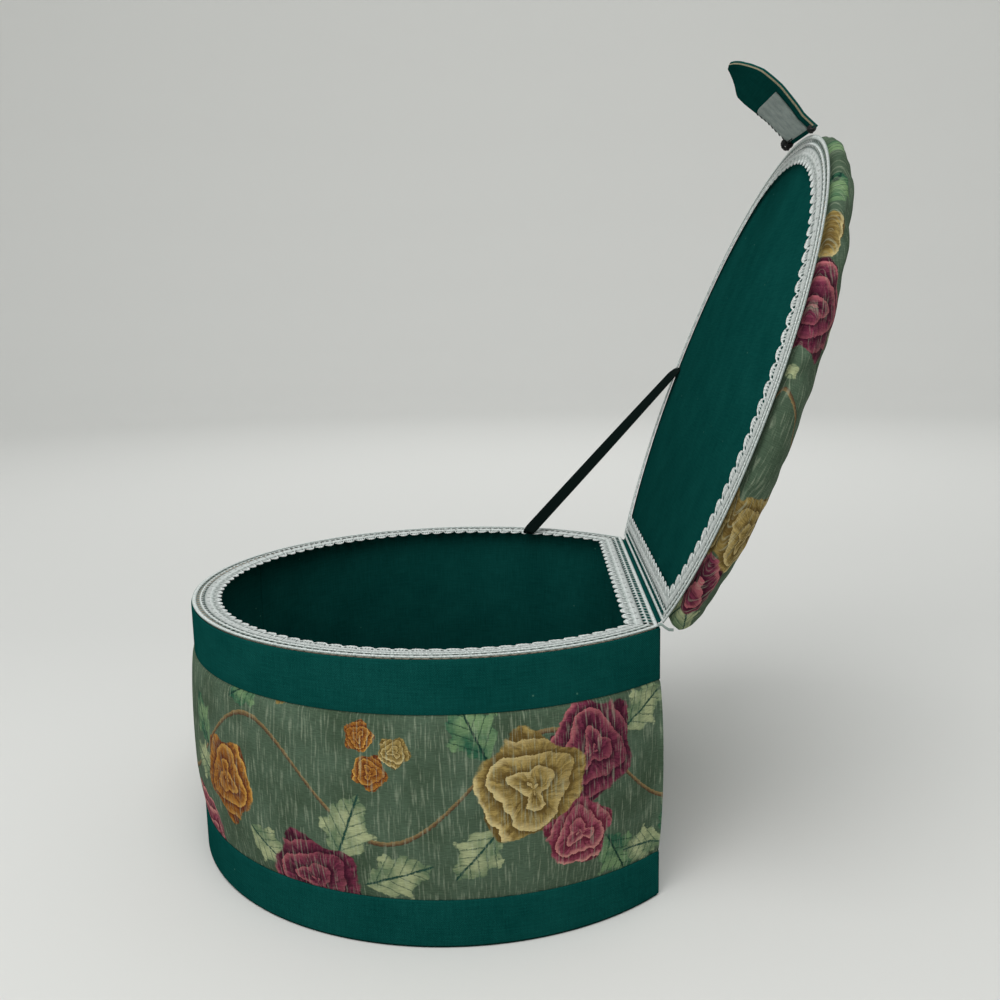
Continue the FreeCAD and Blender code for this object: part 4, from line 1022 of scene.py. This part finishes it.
# Loop patch: the soft half, near black, glued round the front of the upper band.
loop_tape = new_material("black_brushed_loop_tape")
tree = loop_tape.node_tree
place = add(tree, "ShaderNodeTexCoord").outputs["UV"]
pile = add(tree, "ShaderNodeTexNoise", in_0=place, Scale=2.2, Detail=4.0, Roughness=0.75)
shade = add(tree, "ShaderNodeMix", {"data_type": "RGBA"}, in_0=pile.outputs[0], in_6=colour("#0B1413"),
            in_7=colour("#22302D"))
relief = add(tree, "ShaderNodeBump", Height=pile.outputs[0], Strength=1.0, Distance=0.0006)
shader = add(tree, "ShaderNodeBsdfPrincipled", Base_Color=shade.outputs[2], Normal=relief.outputs[0],
             Roughness=1.0, Sheen_Weight=0.25, Sheen_Roughness=0.5)
add(tree, "ShaderNodeOutputMaterial", Surface=shader.outputs[0])
LOOP_LOW, LOOP_HIGH, LOOP_WIDE = 87.6, 107.6, 35.0
FRONT = -math.pi / 2


def loop_spot(across, along):
    angle = FRONT + (across - 0.5) * LOOP_WIDE * MM / BOX_RADIUS
    reach = BOX_RADIUS / MM + 1.05
    return reach * math.cos(angle), reach * math.sin(angle), LOOP_LOW + (LOOP_HIGH - LOOP_LOW) * along


loop_patch = bent_sheet("loop_tape_patch", 28, 16, (35, 20), loop_spot, 1.0)
loop_patch.data.materials.append(loop_tape)
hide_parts("loop_patch")
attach(loop_patch, "box")

# Thread: two lumpy knots at the tab's root corners, wound from thick black thread,
# and short stitches along the hook patch's edges. They are one piece, as in the CAD.
black_thread = new_material("black_sewing_thread")
tree = black_thread.node_tree
twist = add(tree, "ShaderNodeTexNoise", in_0=add(tree, "ShaderNodeTexCoord").outputs["Object"], Scale=2400.0)
relief = add(tree, "ShaderNodeBump", Height=twist.outputs[0], Strength=0.6, Distance=0.0002)
shader = add(tree, "ShaderNodeBsdfPrincipled", Base_Color=colour("#050A09"), Normal=relief.outputs[0],
             Roughness=0.7)
add(tree, "ShaderNodeOutputMaterial", Surface=shader.outputs[0])
THREAD_RADIUS = 0.42 * MM
KNOTS = [((19.0, 151.2, 300.2), 1.35, 1.0), ((-18.6, 150.6, 300.6), 1.7, 1.25)]
LOOPS = [(0.2, 0.3, 0.0), (1.2, 0.5, 0.8), (0.5, 1.4, 1.6), (2.0, 0.2, 2.4), (1.5, 2.2, 0.6), (0.9, 2.8, 1.9)]
threads = []
for middle, radius, wide in KNOTS:
    for turn in LOOPS:
        leave_all()
        bpy.ops.mesh.primitive_torus_add(major_segments=16, minor_segments=6, major_radius=radius * MM,
                                         minor_radius=THREAD_RADIUS, location=Vector(middle) * MM, rotation=turn,
                                         generate_uvs=False)
        bpy.context.object.scale = (wide * 1.2, wide, wide)
        threads.append(bpy.context.object)
far_stitches = [(HOOK_FAR + 0.018, HOOK_START + (HOOK_END - HOOK_START) * (n + 0.5) / 9, 0) for n in range(9)]
root_stitches = [(HOOK_FAR + 0.02 + 0.05 * n, HOOK_START + 0.01, 1) for n in range(5)]
for across, along, turned in far_stitches + root_stitches:
    leave_all()
    spot = tab_spot(across, along, HOOK_BODY + 0.2)
    ahead = tab_spot(across + 0.02 * turned, along + 0.02 * (1 - turned), HOOK_BODY + 0.2) - spot
    slant = tab_spot(across + 0.02 * (1 - turned), along + 0.02 * turned, HOOK_BODY - 0.3) - spot
    way = (ahead.normalized() + slant.normalized() * (0.15 + 0.3 * (len(threads) % 3))).normalized()
    bpy.ops.mesh.primitive_uv_sphere_add(segments=8, ring_count=6, radius=0.28 * MM, location=spot * MM,
                                         rotation=way.to_track_quat("Z", "Y").to_euler(), calc_uvs=False)
    bpy.context.object.scale = (1, 1, 3.4)
    threads.append(bpy.context.object)
leave_all()
for piece in threads:
    piece.select_set(True)
bpy.context.view_layer.objects.active = threads[0]
bpy.ops.object.join()
stitches = bpy.context.object
stitches.name = "tab_thread"
bpy.ops.object.transform_apply(location=True, rotation=True, scale=True)
smooth(stitches, 180)
stitches.data.materials.append(black_thread)
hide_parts("tab_stitches")
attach(stitches, "tab")

# Base cover: dark book cloth glued under the base, plain.
book_cloth = green_cotton("dark_book_cloth", "#0E2320", "#152F2A")
base = flat_cloth("base_cover_sheet", 0.6 * MM, 0.0, 0.8 * MM, 0.25 * MM)
base.data.materials.append(book_cloth)
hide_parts("base_cover")
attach(base, "box")
